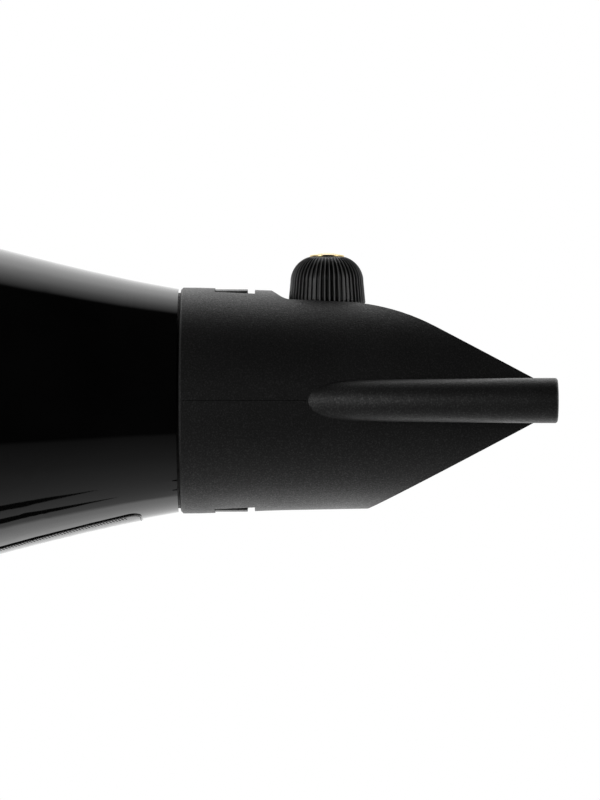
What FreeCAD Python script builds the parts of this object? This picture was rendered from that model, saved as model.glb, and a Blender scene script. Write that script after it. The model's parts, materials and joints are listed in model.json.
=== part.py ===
import FreeCAD
import Part
import math
import os
import re
import Sketcher

# A salon hair dryer with a flared gloss barrel, a tilted handle and a matt concentrator nozzle.
#
# Row frame: millimetres, +Z up, +X the way the air blows, +Y to the user's left. The origin is
# the middle of the grip, on the handle's own axis. Two local frames are used:
#   barrel frame: the row frame lifted by axis_height, so that X is the barrel's axis;
#   handle frame: the row frame turned about Y by the handle's tilt. Its x points to the front of
#   the grip, its z up the handle. Barrel stations are x values, handle stations are z values.

DIMENSIONS = {
    # Frames
    "axis_height": 95.0,
    "handle_tilt": 5.0,
    # Barrel casing
    "front_x": 78.0,
    "rear_x": -72.0,
    "casing_wall": 2.4,
    "seam_gap": 0.12,
    "blend_radius": 9.0,
    "rib_inner_r": 23.6,
    "flange_front_x": 70.0,
    "flange_rear_x": 68.0,
    "rib_width": 1.5,
    "tick_length": 1.1,
    "tick_rim_width": 0.7,
    "tick_end_width": 0.25,
    "tick_depth": 0.45,
    # Handle casing
    "handle_wall": 2.3,
    "handle_bottom": -58.0,
    "handle_top": 85.0,
    "bottom_round": 5.0,
    "boss_r": 4.1,
    "boss_x": -10.0,
    "boss_low_z": -40.0,
    "boss_high_z": 44.0,
    "screw_r": 1.4,
    "screw_hole_r": 1.45,
    "screw_head_r": 2.7,
    "counterbore_r": 3.0,
    "screw_seat_y": 7.5,
    "screw_head_height": 1.9,
    "screw_tip_y": -7.0,
    "cross_half_length": 1.6,
    "cross_half_width": 0.35,
    # Outlet ring, the collar that attachments push onto
    "collar_r": 22.6,
    "ring_body_r": 23.2,
    "ring_flange_r": 24.8,
    "ring_bore_r": 20.4,
    "ring_rear_x": 62.0,
    "ring_front_x": 97.0,
    "socket_r": 22.05,
    "socket_depth": 2.6,
    "groove_x": 82.0,
    "groove_width": 2.0,
    "groove_r": 21.7,
    "bead_x": 93.4,
    "bead_r": 22.8,
    "lip_r": 19.6,
    "lip_width": 1.6,
    "shoulder_r": 24.9,
    "shoulder_gap": 0.12,
    # Outlet grille
    "grille_r": 20.3,
    "grille_thickness": 1.8,
    "grille_web": 1.0,
    "grille_pitch": 4.7,
    # Heater
    "sleeve_r": 21.95,
    "sleeve_wall": 0.4,
    "sleeve_rear_x": 2.0,
    "sleeve_length": 62.5,
    "mica_rear_x": 4.0,
    "mica_length": 58.0,
    "mica_half_width": 21.4,
    "mica_thickness": 0.8,
    "coil_first_x": 9.5,
    "coil_pitch": 7.0,
    "coil_ring_r": 15.5,
    "coil_tube_r": 1.8,
    "notch_inner_r": 13.5,
    "notch_width": 3.9,
    "board_clear": 0.6,
    "cutout_x": 26.0,
    "cutout_length": 11.0,
    "cutout_width": 6.0,
    "cutout_height": 3.6,
    "cutout_tab_width": 2.4,
    "cutout_tab_thickness": 0.5,
    "cutout_tab_reach": 3.0,
    "fuse_x": 20.0,
    "fuse_y": -3.6,
    "fuse_z": 3.2,
    "fuse_r": 2.0,
    "fuse_length": 9.0,
    "fuse_tail_r": 0.5,
    "fuse_tail_reach": 6.0,
    # Motor
    "shaft_r": 1.6,
    "shaft_rear_x": -64.8,
    "shaft_front_x": 2.0,
    "bush_r": 4.0,
    "bush_bore_r": 1.65,
    "bush_length": 2.9,
    "stator_r": 19.6,
    "stator_bore_r": 11.8,
    "stator_rear_x": -38.0,
    "stator_length": 20.0,
    "field_inner_r": 12.6,
    "field_outer_r": 17.4,
    "field_slot_r": 17.6,
    "field_rear_x": -42.5,
    "field_length": 29.0,
    "field_angle": 100.0,
    "bracket_rim_r": 18.4,
    "bracket_hub_r": 6.5,
    "bracket_thickness": 3.3,
    "bracket_bar_half": 2.0,
    "rear_bracket_x": -46.5,
    "front_bracket_x": -6.5,
    "armature_r": 11.2,
    "armature_rear_x": -37.5,
    "armature_length": 19.0,
    "armature_slot_r": 6.5,
    "armature_slot_width": 2.2,
    "end_turn_r": 10.0,
    "end_turn_bore_r": 3.0,
    "end_turn_length": 3.8,
    "slot_fill_thickness": 1.8,
    "commutator_r": 5.2,
    "commutator_x": -13.6,
    "commutator_length": 5.2,
    "commutator_slot_r": 3.6,
    "commutator_slot_width": 0.4,
    "brush_middle_x": -11.0,
    "brush_half": 1.4,
    "brush_tip_r": 5.3,
    "brush_end_r": 13.0,
    "holder_half": 2.4,
    "holder_bore_half": 1.6,
    "holder_tip_r": 6.6,
    "holder_end_r": 16.0,
    # Fan and its duct
    "duct_r": 38.9,
    "duct_wall": 1.3,
    "duct_rear_x": -60.0,
    "duct_front_x": -14.0,
    "cup_r": 21.2,
    "cup_wall": 1.4,
    "cup_rear_x": -46.0,
    "duct_rib_inner_r": 37.9,
    "guide_wall": 1.2,
    "guide_cone_x": 5.0,
    "guide_front_x": 11.0,
    "fan_tip_r": 36.9,
    "fan_hub_r": 13.0,
    "fan_rear_x": -61.0,
    "fan_front_x": -49.0,
    "fan_boss_r": 4.2,
    "nut_r": 3.4,
    "nut_height": 2.6,
    # Rear trim ring, guard and filter
    "trim_r": 40.4,
    "trim_bore_r": 36.5,
    "trim_width": 3.0,
    "spigot_r": 37.7,
    "spigot_length": 10.0,
    "guard_r": 36.3,
    "guard_wall": 0.7,
    "guard_skirt_x": -64.0,
    "guard_edge_x": -79.0,
    "guard_dome_rise": 5.0,
    "guard_thickness": 1.8,
    "guard_slot": 3.0,
    "guard_web": 2.0,
    "guard_spoke": 1.6,
    "guard_centre_r": 4.6,
    "filter_r": 35.5,
    "filter_x": -72.4,
    "filter_thickness": 0.4,
    # Controls on the front of the grip, in the handle frame
    "panel_half_width": 6.35,
    "panel_low_z": -36.0,
    "panel_high_z": 34.0,
    "panel_back_x": 10.4,
    "panel_flange": 1.2,
    "panel_flange_reach": 1.6,
    "panel_recess": 0.3,
    "panel_gap": 0.15,
    "speed_z": -23.0,
    "heat_z": 1.5,
    "cool_z": 23.5,
    "rocker_pivot_x": 12.0,
    "rocker_half_length": 9.1,
    "rocker_hole_half": 10.3,
    "rocker_width": 8.8,
    "rocker_hole_width": 9.2,
    "trunnion_r": 1.2,
    "trunnion_half": 5.3,
    "rocker_edge_rise": 6.3,
    "rocker_middle_rise": 5.2,
    "rocker_heel": 4.5,
    "switch_back_x": -3.0,
    "switch_front_x": 10.1,
    "switch_half_width": 5.5,
    "switch_half_length": 10.9,
    "switch_well_x": 5.0,
    "switch_wall": 0.8,
    "terminal_length": 5.5,
    "terminal_half_width": 2.0,
    "terminal_half_thickness": 0.4,
    "terminal_pitch": 7.0,
    "button_r": 4.6,
    "button_front_x": 18.9,
    "button_flange_r": 5.7,
    "button_flange_drop": 1.2,
    "button_stem_r": 1.8,
    "button_stem_x": 5.8,
    "microswitch_back_x": -5.5,
    "microswitch_front_x": 3.5,
    "microswitch_half_width": 5.0,
    "microswitch_half_length": 6.0,
    "microswitch_seat_r": 4.2,
    "microswitch_tab_pitch": 8.0,
    "spring_r": 3.3,
    "spring_wire_r": 0.35,
    "spring_turns": 4.0,
    # Cord entry at the bottom of the grip, in the handle frame
    "gland_x": 4.5,
    "gland_bore_r": 4.0,
    "gland_neck_r": 7.0,
    "gland_flange_r": 8.0,
    "gland_bottom": -61.5,
    "gland_top": -49.5,
    "loop_x": -10.5,
    "loop_z": -67.4,
    "loop_r": 8.5,
    "loop_hole_r": 5.5,
    "loop_thickness": 4.0,
    "clamp_z": -43.0,
    "clamp_low_x": -2.5,
    "clamp_high_x": 9.6,
    "clamp_bar_low_y": 4.3,
    "clamp_bar_high_y": 6.6,
    "clamp_bar_half": 3.0,
    "clamp_hole_r": 1.15,
    "clamp_screw_r": 1.1,
    "clamp_head_r": 2.0,
    "clamp_head_height": 1.3,
    "clamp_screw_tip_y": -4.0,
    "clamp_post_r": 2.6,
    # Concentrator nozzle, in the barrel frame
    "nozzle_gap": 0.5,
    "nozzle_bore_r": 23.1,
    "nozzle_bore_length": 20.0,
    "nozzle_inner_r": 22.4,
    "nozzle_inner_tip_r": 21.4,
    "nozzle_wall": 1.8,
    "rim_chamfer": 0.5,
    "window_x": 86.3,
    "window_length": 9.2,
    "window_half_width": 7.2,
    "clip_length": 7.5,
    "clip_top_r": 25.68,
    "clip_pad_half": 5.2,
    "clip_pad_thickness": 0.6,
    "clip_foot_half": 2.9,
    "tongue_pocket_half": 3.1,
    "tongue_pocket_r": 24.0,
    "tongue_pocket_reach": 4.2,
    "shelf_start_x": 99.0,
    "shelf_start_z": 25.6,
    "shelf_x": 102.5,
    "shelf_z": 23.2,
    "shelf_slope": 2.5,
    "wedge_angle": 28.2,
    "wedge_tip_x": 158.6,
    "wedge_tip_z": 5.05,
    "top_blend_r": 48.0,
    "shelf_blend_r": 5.0,
    "slit_wall": 1.4,
    "slit_edge_r": 0.6,
    # Airflow adjuster on the nozzle, in the barrel frame
    "knob_x": 112.1,
    "knob_r": 8.9,
    "knob_top_r": 8.45,
    "knob_base_z": 22.4,
    "knob_top_z": 33.4,
    "knob_dome_r": 6.0,
    "knob_rib_depth": 0.6,
    "knob_rib_width": 0.5,
    "knob_rib_count": 48,
    "knob_hollow_r": 6.6,
    "knob_post_r": 3.6,
    "knob_roof": 5.0,
    "cap_stem_r": 2.5,
    "recess_r": 9.15,
    "recess_z": 22.2,
    "top_wall_z": 20.4,
    "cap_r": 4.0,
    "cap_seat_depth": 0.35,
    "cap_edge_z": 33.52,
    "cap_top_z": 34.1,
    "spindle_r": 2.0,
    "spindle_pin_r": 1.5,
    "bushing_r": 3.6,
    "vane_half_length": 12.0,
    "vane_top_z": 17.0,
    "vane_bottom_z": -17.5,
    "vane_thickness": 1.2,
    "pivot_boss_r": 3.4,
    "pivot_boss_z": -19.0,
    "clip_groove_z": 17.5,
    "clip_groove_width": 0.8,
    "clip_groove_r": 1.6,
    "spindle_clip_r": 3.6,
    "spindle_foot_z": -21.9,
    "vane_sleeve_r": 3.1,
    # Rating plate under the barrel
    "plate_front_x": 69.6,
    "plate_length": 42.0,
    "plate_half_width": 9.8,
    "plate_thickness": 0.25,
    "plate_corner_r": 3.0,
}

COIL_RINGS = 8
FAN_BLADES = 9
DUCT_VANES = 7
ARMATURE_SLOTS = 12
GUARD_SLOT_RINGS = 6
GUARD_SPOKES = 12
TICK_ANGLES = (-44.4, -51.6)

# The barrel's outline: distance behind the front rim, and radius. A smooth curve runs through it.
BARREL_STATIONS = [
    (0.0, 25.85),
    (17.0, 29.2),
    (41.4, 35.2),
    (68.0, 41.6),
    (98.0, 44.6),
    (128.0, 43.3),
    (150.0, 40.4),
]

# The nozzle's round body: barrel station and radius, from the rim to past the wedge's tip.
NOZZLE_STATIONS = [
    (79.0, 26.1),
    (88.0, 25.9),
    (97.0, 25.5),
    (108.0, 25.22),
    (120.0, 25.0),
    (162.0, 24.2),
]

# The flat outlet duct: barrel station, half width and half height, from the root to the mouth.
DUCT_SECTIONS = [
    (98.0, 21.5, 4.45),
    (107.0, 24.95, 4.5),
    (118.0, 28.9, 4.65),
    (132.0, 32.9, 4.8),
    (148.0, 36.2, 4.95),
    (163.4, 38.4, 5.05),
]

# The grip's sections: station, and half axes front to back and side to side.
HANDLE_SECTIONS = [
    (DIMENSIONS["handle_top"], 22.5, 18.0),
    (48.0, 19.8, 17.0),
    (8.0, 18.0, 16.0),
    (-28.0, 17.1, 15.5),
    (DIMENSIONS["handle_bottom"], 17.6, 16.0),
]

V = FreeCAD.Vector
X_AXIS, Y_AXIS, Z_AXIS = V(1, 0, 0), V(0, 1, 0), V(0, 0, 1)

doc = FreeCAD.newDocument("hair_dryer")
sheet = doc.addObject("Spreadsheet::Sheet", "dims")
for row, (alias, number) in enumerate(DIMENSIONS.items(), start=1):
    sheet.set(f"A{row}", alias)
    sheet.set(f"B{row}", str(number))
    sheet.setAlias(f"B{row}", alias)
doc.recompute()

nodes = []


def dim(alias):
    """A driving dimension, read back from the spreadsheet."""
    return float(sheet.get(alias))


def bound(text):
    """The expression with each alias written as the spreadsheet's own cell."""
    return re.sub(
        r"[a-z][a-z_]+",
        lambda m: "dims." + m.group(0) if m.group(0) in DIMENSIONS else m.group(0),
        str(text),
    )


def value(text):
    """What an expression comes to."""
    return float(sheet.evalExpression(bound(text)))


def barrel_frame():
    return FreeCAD.Placement(V(0, 0, dim("axis_height")), FreeCAD.Rotation())


def handle_frame():
    return FreeCAD.Placement(V(), FreeCAD.Rotation(Y_AXIS, -dim("handle_tilt")))


def keep(label, thing, frame):
    """Registers a sub-part under its label, and puts it in its frame."""
    thing.Label = label
    thing.Placement = frame
    nodes.append(thing)
    return thing


# ---------------------------------------------------------------- sketches and features


def place_point(sketch, geometry, point, x, y):
    """Holds one point of a sketch at (x, y), each an expression."""
    for kind, text in (("DistanceX", x), ("DistanceY", y)):
        index = sketch.addConstraint(
            Sketcher.Constraint(kind, -1, 1, geometry, point, value(text))
        )
        sketch.setExpression(f"Constraints[{index}]", bound(text))


def draw_polygon(sketch, corners):
    """A closed outline with straight sides. Each corner is a pair of expressions."""
    first = sketch.GeometryCount
    count = len(corners)
    places = [V(value(x), value(y), 0) for x, y in corners]
    for i in range(count):
        sketch.addGeometry(Part.LineSegment(places[i], places[(i + 1) % count]), False)
    for i in range(count):
        joined = Sketcher.Constraint("Coincident", first + i, 2, first + (i + 1) % count, 1)
        sketch.addConstraint(joined)
        place_point(sketch, first + i, 1, *corners[i])


def draw_rectangle(sketch, low_x, low_y, high_x, high_y):
    corners = [(low_x, low_y), (high_x, low_y), (high_x, high_y), (low_x, high_y)]
    draw_polygon(sketch, corners)


def draw_circle(sketch, x, y, radius):
    circle = Part.Circle(V(value(x), value(y), 0), Z_AXIS, value(radius))
    index = sketch.addGeometry(circle, False)
    place_point(sketch, index, 3, x, y)
    size = sketch.addConstraint(Sketcher.Constraint("Radius", index, value(radius)))
    sketch.setExpression(f"Constraints[{size}]", bound(radius))


def new_body(label):
    return doc.addObject("PartDesign::Body", label)


def new_sketch(body, role, height="0"):
    """A sketch on one of the body's own planes, moved along the plane's normal by height."""
    sketch = body.newObject("Sketcher::SketchObject", body.Name + "_sketch")
    plane = [f for f in body.Origin.OriginFeatures if f.Role == role][0]
    sketch.AttachmentSupport = [(plane, "")]
    sketch.MapMode = "FlatFace"
    sketch.setExpression("AttachmentOffset.Base.z", bound(height))
    return sketch


def origin_axis(body, role):
    return ([f for f in body.Origin.OriginFeatures if f.Role == role][0], [""])


def pad(body, sketch, length, both_ways=False):
    feature = body.newObject("PartDesign::Pad", body.Name + "_pad")
    feature.Profile = sketch
    feature.setExpression("Length", bound(length))
    feature.SideType = "Symmetric" if both_ways else "One side"
    doc.recompute()
    return feature


def pocket(body, sketch, length, both_ways=False, reverse=False):
    """A cut that has to remove something."""
    before = body.Shape.Volume
    feature = body.newObject("PartDesign::Pocket", body.Name + "_pocket")
    feature.Profile = sketch
    feature.setExpression("Length", bound(length))
    feature.SideType = "Symmetric" if both_ways else "One side"
    feature.Reversed = reverse
    doc.recompute()
    if body.Shape.Volume >= before:
        raise RuntimeError(f"{feature.Name} cuts nothing")
    return feature


def repeat_round(body, feature, axis, count):
    pattern = body.newObject("PartDesign::PolarPattern", body.Name + "_polar")
    pattern.Originals = [feature]
    pattern.Axis = axis
    pattern.Angle = 360
    pattern.Occurrences = count
    body.Tip = pattern
    doc.recompute()
    return pattern


def repeat_along(body, feature, axis, length, count):
    pattern = body.newObject("PartDesign::LinearPattern", body.Name + "_row")
    pattern.Originals = [feature]
    pattern.Direction = axis
    pattern.setExpression("Length", bound(length))
    pattern.Occurrences = count
    body.Tip = pattern
    doc.recompute()
    return pattern


def turned(label, corners, role="XZ_Plane", axis="H_Axis"):
    """A body of revolution about the sketch's horizontal (barrel) or vertical axis."""
    body = new_body(label)
    sketch = new_sketch(body, role)
    draw_polygon(sketch, corners)
    feature = body.newObject("PartDesign::Revolution", label + "_turn")
    feature.Profile = sketch
    feature.ReferenceAxis = (sketch, [axis])
    feature.Angle = 360
    doc.recompute()
    return body


def round_off(body, radius, wanted):
    """Fillets the edges that wanted() picks."""
    base = body.Tip
    names = [f"Edge{i}" for i, edge in enumerate(base.Shape.Edges, start=1) if wanted(edge)]
    feature = body.newObject("PartDesign::Fillet", body.Name + "_fillet")
    feature.Base = (base, names)
    feature.setExpression("Radius", bound(radius))
    doc.recompute()
    return feature


def circle_at(position, radius, axis=0):
    """Picks circular edges by their place on an axis (0 X, 1 Y, 2 Z) and their radius."""

    def wanted(edge):
        curve = edge.Curve
        if not isinstance(curve, Part.Circle):
            return False
        near = abs(curve.Center[axis] - value(position)) < 0.01
        return near and abs(curve.Radius - value(radius)) < 0.01

    return wanted


# ---------------------------------------------------------------- primitives


def box(name, low, high):
    """A Part::Box between two corners, each three expressions."""
    piece = doc.addObject("Part::Box", name)
    sizes = (("Length", "x", 0), ("Width", "y", 1), ("Height", "z", 2))
    for size, letter, i in sizes:
        piece.setExpression(size, bound(f"({high[i]}) - ({low[i]})"))
        piece.setExpression(f"Placement.Base.{letter}", bound(low[i]))
    return piece


TURN = {"x": (Y_AXIS, 90), "y": (X_AXIS, -90), "z": (Z_AXIS, 0)}


def cylinder(name, axis, start, radius, length, angle="360", spin=0.0):
    """A Part::Cylinder along x, y or z from start, three expressions. spin turns a sector."""
    piece = doc.addObject("Part::Cylinder", name)
    turn = FreeCAD.Rotation(*TURN[axis]).multiply(FreeCAD.Rotation(Z_AXIS, spin))
    piece.Placement = FreeCAD.Placement(V(), turn)
    piece.setExpression("Radius", bound(radius))
    piece.setExpression("Height", bound(length))
    piece.setExpression("Angle", bound(angle))
    for letter, text in zip("xyz", start):
        piece.setExpression(f"Placement.Base.{letter}", bound(text))
    return piece


def cut(name, base, tool):
    piece = doc.addObject("Part::Cut", name)
    piece.Base = base
    piece.Tool = tool
    return piece


def common(name, base, tool):
    piece = doc.addObject("Part::Common", name)
    piece.Base = base
    piece.Tool = tool
    return piece


def fuse(name, pieces):
    piece = doc.addObject("Part::MultiFuse", name)
    piece.Shapes = pieces
    return piece


def group(name, pieces):
    piece = doc.addObject("Part::Compound", name)
    piece.Links = pieces
    return piece


def turn_to(piece, corner, angle):
    """Puts a block's corner in place, then turns both about the barrel's axis."""
    turn = FreeCAD.Rotation(X_AXIS, angle)
    piece.Placement = FreeCAD.Placement(turn.multVec(corner), turn)


def tube(name, axis, start, outer, inner, length):
    outside = cylinder(name + "_outside", axis, start, outer, length)
    inside = cylinder(name + "_inside", axis, start, inner, length)
    return cut(name, outside, inside)


def shaped(label, shape):
    """A sub-part whose Shape comes from Part's own functions."""
    piece = doc.addObject("Part::Feature", label)
    piece.Shape = Part.Compound([shape])
    return piece


def solid_box(low, high):
    return Part.makeBox(*(h - l for l, h in zip(low, high)), V(*low))


def solid_cylinder(radius, start, end):
    direction = V(*end) - V(*start)
    return Part.makeCylinder(radius, direction.Length, V(*start), direction)


def prism(points, half_width):
    """An outline in the XZ plane, drawn out to both sides of it."""
    wire = Part.makePolygon([V(x, -half_width, z) for x, z in points + points[:1]])
    return Part.Face(wire).extrude(V(0, 2 * half_width, 0))


# ---------------------------------------------------------------- casing


def barrel_curve(inset=0.0):
    """The barrel's outline in the XZ plane, from the front rim to the rear, moved in by inset."""
    points = [V(dim("front_x") - back, 0, r - inset) for back, r in BARREL_STATIONS]
    curve = Part.BSplineCurve()
    curve.interpolate(points)
    return curve


def barrel_solid(inset=0.0, past_ends=0.0):
    """The barrel, filled. past_ends makes it longer at both ends, as a cutter has to be."""
    curve = barrel_curve(inset)
    front, rear = curve.StartPoint, curve.EndPoint
    front_end = V(front.x + past_ends, 0, front.z)
    rear_end = V(rear.x - past_ends, 0, rear.z)
    edges = [curve.toShape()]
    if past_ends:
        edges.append(Part.LineSegment(rear, rear_end).toShape())
        edges.append(Part.LineSegment(front_end, front).toShape())
    ends = [rear_end, V(rear_end.x, 0, 0), V(front_end.x, 0, 0), front_end]
    edges += [Part.LineSegment(a, b).toShape() for a, b in zip(ends, ends[1:])]
    wire = Part.Wire(Part.__sortEdges__(edges))
    solid = Part.Face(wire).revolve(V(), X_AXIS, 360)
    solid.Placement = barrel_frame()
    return solid


def handle_solid(inset=0.0, bottom_inset=0.0, rounded=True):
    """The grip, filled, in the row frame."""
    wires = []
    for station, half_x, half_y in HANDLE_SECTIONS:
        if station == dim("handle_bottom"):
            station += bottom_inset
        oval = Part.Ellipse(V(0, 0, station), half_x - inset, half_y - inset)
        wires.append(Part.Wire(oval.toShape()))
    solid = Part.makeLoft(wires, True)
    if rounded:
        low = solid.BoundBox.ZMin
        bottom = [e for e in solid.Edges if e.BoundBox.ZMax < low + 0.01]
        solid = solid.makeFillet(dim("bottom_round") - inset, bottom)
    solid.Placement = handle_frame()
    return solid


def casing_outside():
    """Barrel and grip joined with a soft blend."""
    barrel, handle = barrel_solid(), handle_solid()
    joined = barrel.fuse(handle)

    def on_both(edge):
        for share in (0.1, 0.5, 0.9):
            low, high = edge.ParameterRange
            point = Part.Vertex(edge.valueAt(low + share * (high - low)))
            if barrel.Shells[0].distToShape(point)[0] > 0.01:
                return False
            if handle.Shells[0].distToShape(point)[0] > 0.01:
                return False
        return True

    crease = [edge for edge in joined.Edges if edge.Length > 1 and on_both(edge)]
    return joined.makeFillet(dim("blend_radius"), crease)


def in_handle(shape):
    """Moves a shape drawn in the handle frame to the row frame."""
    moved = shape.copy()
    moved.Placement = handle_frame().multiply(moved.Placement)
    return moved


def in_barrel(shape):
    moved = shape.copy()
    moved.Placement = barrel_frame().multiply(moved.Placement)
    return moved


def panel_outline(half_width, low, high, back, front):
    """A plate with round ends, upright in the handle frame, from back to front along x."""
    straight = solid_box(
        (back, -half_width, low + half_width), (front, half_width, high - half_width)
    )
    ends = [
        solid_cylinder(half_width, (back, 0, z), (front, 0, z))
        for z in (low + half_width, high - half_width)
    ]
    return straight.fuse(ends).removeSplitter()


def casing_halves():
    """The two mouldings of the casing, with their ribs, bosses and openings."""
    outside = casing_outside()
    hollow = barrel_solid(dim("casing_wall"), past_ends=2.0)
    hollow = hollow.fuse(handle_solid(dim("handle_wall"), dim("handle_wall"), rounded=False))
    shell = outside.cut(hollow)

    # Pairs of ribs that trap the outlet ring's flange and the fan duct.
    ribs = []
    for start, inner_r in (
        (dim("flange_rear_x") - 0.2 - dim("rib_width"), dim("rib_inner_r")),
        (dim("flange_front_x") + 0.2, dim("rib_inner_r")),
        (dim("duct_rear_x") - 0.2 - dim("rib_width"), dim("duct_rib_inner_r")),
        (dim("duct_front_x") + 0.2, dim("duct_r") + 0.2),
    ):
        disc = solid_cylinder(50, (start, 0, 0), (start + dim("rib_width"), 0, 0))
        hole = solid_cylinder(inner_r, (start, 0, 0), (start + dim("rib_width"), 0, 0))
        ribs.append(in_barrel(disc.cut(hole)).common(outside))
    # Bosses for the casing screws.
    for z in (dim("boss_low_z"), dim("boss_high_z")):
        post = solid_cylinder(dim("boss_r"), (dim("boss_x"), -20, z), (dim("boss_x"), 20, z))
        ribs.append(in_handle(post).common(outside))
    shell = shell.fuse(ribs)

    cutters = []
    for z in (dim("boss_low_z"), dim("boss_high_z")):
        x = dim("boss_x")
        cutters.append(in_handle(solid_cylinder(dim("screw_hole_r"), (x, -8, z), (x, 20, z))))
        seat = dim("screw_seat_y")
        cutters.append(in_handle(solid_cylinder(dim("counterbore_r"), (x, seat, z), (x, 30, z))))
    gap = dim("panel_gap")
    opening = panel_outline(
        dim("panel_half_width") + gap,
        dim("panel_low_z") - gap,
        dim("panel_high_z") + gap,
        8,
        30,
    )
    cutters.append(in_handle(opening))
    x, bottom = dim("gland_x"), dim("handle_bottom")
    cutters.append(
        in_handle(solid_cylinder(dim("gland_neck_r") + 0.1, (x, 0, bottom - 5), (x, 0, bottom + 5)))
    )
    x = dim("loop_x")
    cutters.append(in_handle(solid_box((x - 1.6, -2.1, bottom - 5), (x + 1.6, 2.1, bottom + 5))))
    # Two notches in the rim, each wider at the rim than at its end.
    for angle in TICK_ANGLES:
        front = dim("front_x")
        floor_r = BARREL_STATIONS[0][1] - dim("tick_depth")
        narrow, wide = dim("tick_end_width") / 2, dim("tick_rim_width") / 2
        outline = [
            V(front - dim("tick_length"), -narrow, floor_r),
            V(front + 1, -wide, floor_r),
            V(front + 1, wide, floor_r),
            V(front - dim("tick_length"), narrow, floor_r),
        ]
        notch = Part.Face(Part.makePolygon(outline + outline[:1])).extrude(V(0, 0, 3))
        notch.rotate(V(), X_AXIS, 90 - angle)
        cutters.append(in_barrel(notch))
    shell = shell.cut(cutters)

    half_gap = dim("seam_gap") / 2
    left = shell.common(solid_box((-200, half_gap, -200), (200, 100, 200)))
    right = shell.common(solid_box((-200, -100, -200), (200, -half_gap, 200)))

    # The cord clamp is screwed to two posts that only the right half carries.
    reach = handle_solid(dim("handle_wall") / 2, dim("handle_wall") / 2, rounded=False)
    for x in (dim("clamp_low_x"), dim("clamp_high_x")):
        z = dim("clamp_z")
        top = dim("clamp_bar_low_y") - 0.2
        post = solid_cylinder(dim("clamp_post_r"), (x, -20, z), (x, top, z))
        hole = solid_cylinder(dim("clamp_hole_r"), (x, dim("clamp_screw_tip_y") - 2, z),
                              (x, top + 1, z))
        post = post.cut(hole)
        right = right.fuse(in_handle(post).common(reach))
    keep("casing_left", shaped("casing_left", left), FreeCAD.Placement())
    keep("casing_right", shaped("casing_right", right), FreeCAD.Placement())


def casing_screws():
    """Two pan-head screws that pull the halves together, with a cross recess."""
    screws = []
    for i, z in enumerate(("boss_low_z", "boss_high_z")):
        head = cylinder(f"screw_head_{i}", "y", ("boss_x", "screw_seat_y + 0.02", z),
                        "screw_head_r", "screw_head_height")
        shank = cylinder(f"screw_shank_{i}", "y", ("boss_x", "screw_tip_y", z), "screw_r",
                         "screw_seat_y - screw_tip_y + 0.5")
        whole = fuse(f"screw_body_{i}", [head, shank])
        slots = [
            box(f"screw_slot_{i}_{k}",
                (f"boss_x - {a}", "screw_seat_y + 1.0", f"{z} - {b}"),
                (f"boss_x + {a}", "screw_seat_y + 3.0", f"{z} + {b}"))
            for k, (a, b) in enumerate((("cross_half_length", "cross_half_width"),
                                        ("cross_half_width", "cross_half_length")))
        ]
        screws.append(cut(f"screw_{i}", whole, fuse(f"screw_cross_{i}", slots)))
    keep("casing_screws", group("casing_screws", screws), handle_frame())


def rating_plate():
    """A thin blank plate bent to the underside of the barrel."""
    gap = 0.03
    skin = barrel_solid(-gap - dim("plate_thickness")).cut(barrel_solid(-gap, past_ends=2.0))
    half, front = dim("plate_half_width"), dim("plate_front_x")
    back = front - dim("plate_length")
    blank = solid_box((back, -half, -60), (front, half, -15))
    corners = [e for e in blank.Edges if abs(e.tangentAt(0).z) > 0.9]
    blank = in_barrel(blank.makeFillet(dim("plate_corner_r"), corners))
    keep("rating_plate", shaped("rating_plate", skin.common(blank)), FreeCAD.Placement())


# ---------------------------------------------------------------- outlet and heater


def outlet_ring():
    """The heat-proof collar: flange, shoulder, groove for the retaining ring, and bead."""
    body = turned(
        "outlet_ring",
        [
            ("ring_rear_x", "socket_r"),
            ("ring_rear_x", "ring_body_r"),
            ("flange_rear_x", "ring_body_r"),
            ("flange_rear_x", "ring_flange_r"),
            ("flange_front_x", "ring_flange_r"),
            ("flange_front_x", "ring_body_r"),
            ("front_x + 0.02", "ring_body_r"),
            ("front_x + 0.02", "shoulder_r"),
            ("front_x + nozzle_gap - shoulder_gap", "shoulder_r"),
            ("front_x + nozzle_gap - shoulder_gap", "collar_r"),
            ("groove_x", "collar_r"),
            ("groove_x", "groove_r"),
            ("groove_x + groove_width", "groove_r"),
            ("groove_x + groove_width", "collar_r"),
            ("bead_x", "collar_r"),
            ("bead_x + 0.5", "bead_r"),
            ("bead_x + 1.5", "bead_r"),
            ("bead_x + 2", "collar_r"),
            ("ring_front_x - 0.5", "collar_r"),
            ("ring_front_x", "collar_r - 0.5"),
            ("ring_front_x", "lip_r"),
            ("ring_front_x - lip_width", "lip_r"),
            ("ring_front_x - lip_width", "ring_bore_r"),
            ("ring_rear_x + socket_depth", "ring_bore_r"),
            ("ring_rear_x + socket_depth", "socket_r"),
        ],
    )
    keep("outlet_ring", body, barrel_frame())


def outlet_grille():
    """Rings and spokes that keep fingers out of the heater."""
    body = new_body("outlet_grille")
    back = "ring_front_x - lip_width - grille_thickness - 0.1"
    bar = new_sketch(body, "YZ_Plane", back)
    draw_rectangle(bar, "-grille_r + 0.5", "-grille_web / 2", "grille_r - 0.5", "grille_web / 2")
    spoke = pad(body, bar, "grille_thickness")
    repeat_round(body, spoke, origin_axis(body, "X_Axis"), 4)
    rings = new_sketch(body, "YZ_Plane", back)
    for i in range(4):
        outer = f"grille_r - grille_pitch * {i}"
        draw_circle(rings, "0", "0", outer)
        draw_circle(rings, "0", "0", f"{outer} - grille_web * 1.1")
    pad(body, rings, "grille_thickness")
    keep("outlet_grille", body, barrel_frame())


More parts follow.
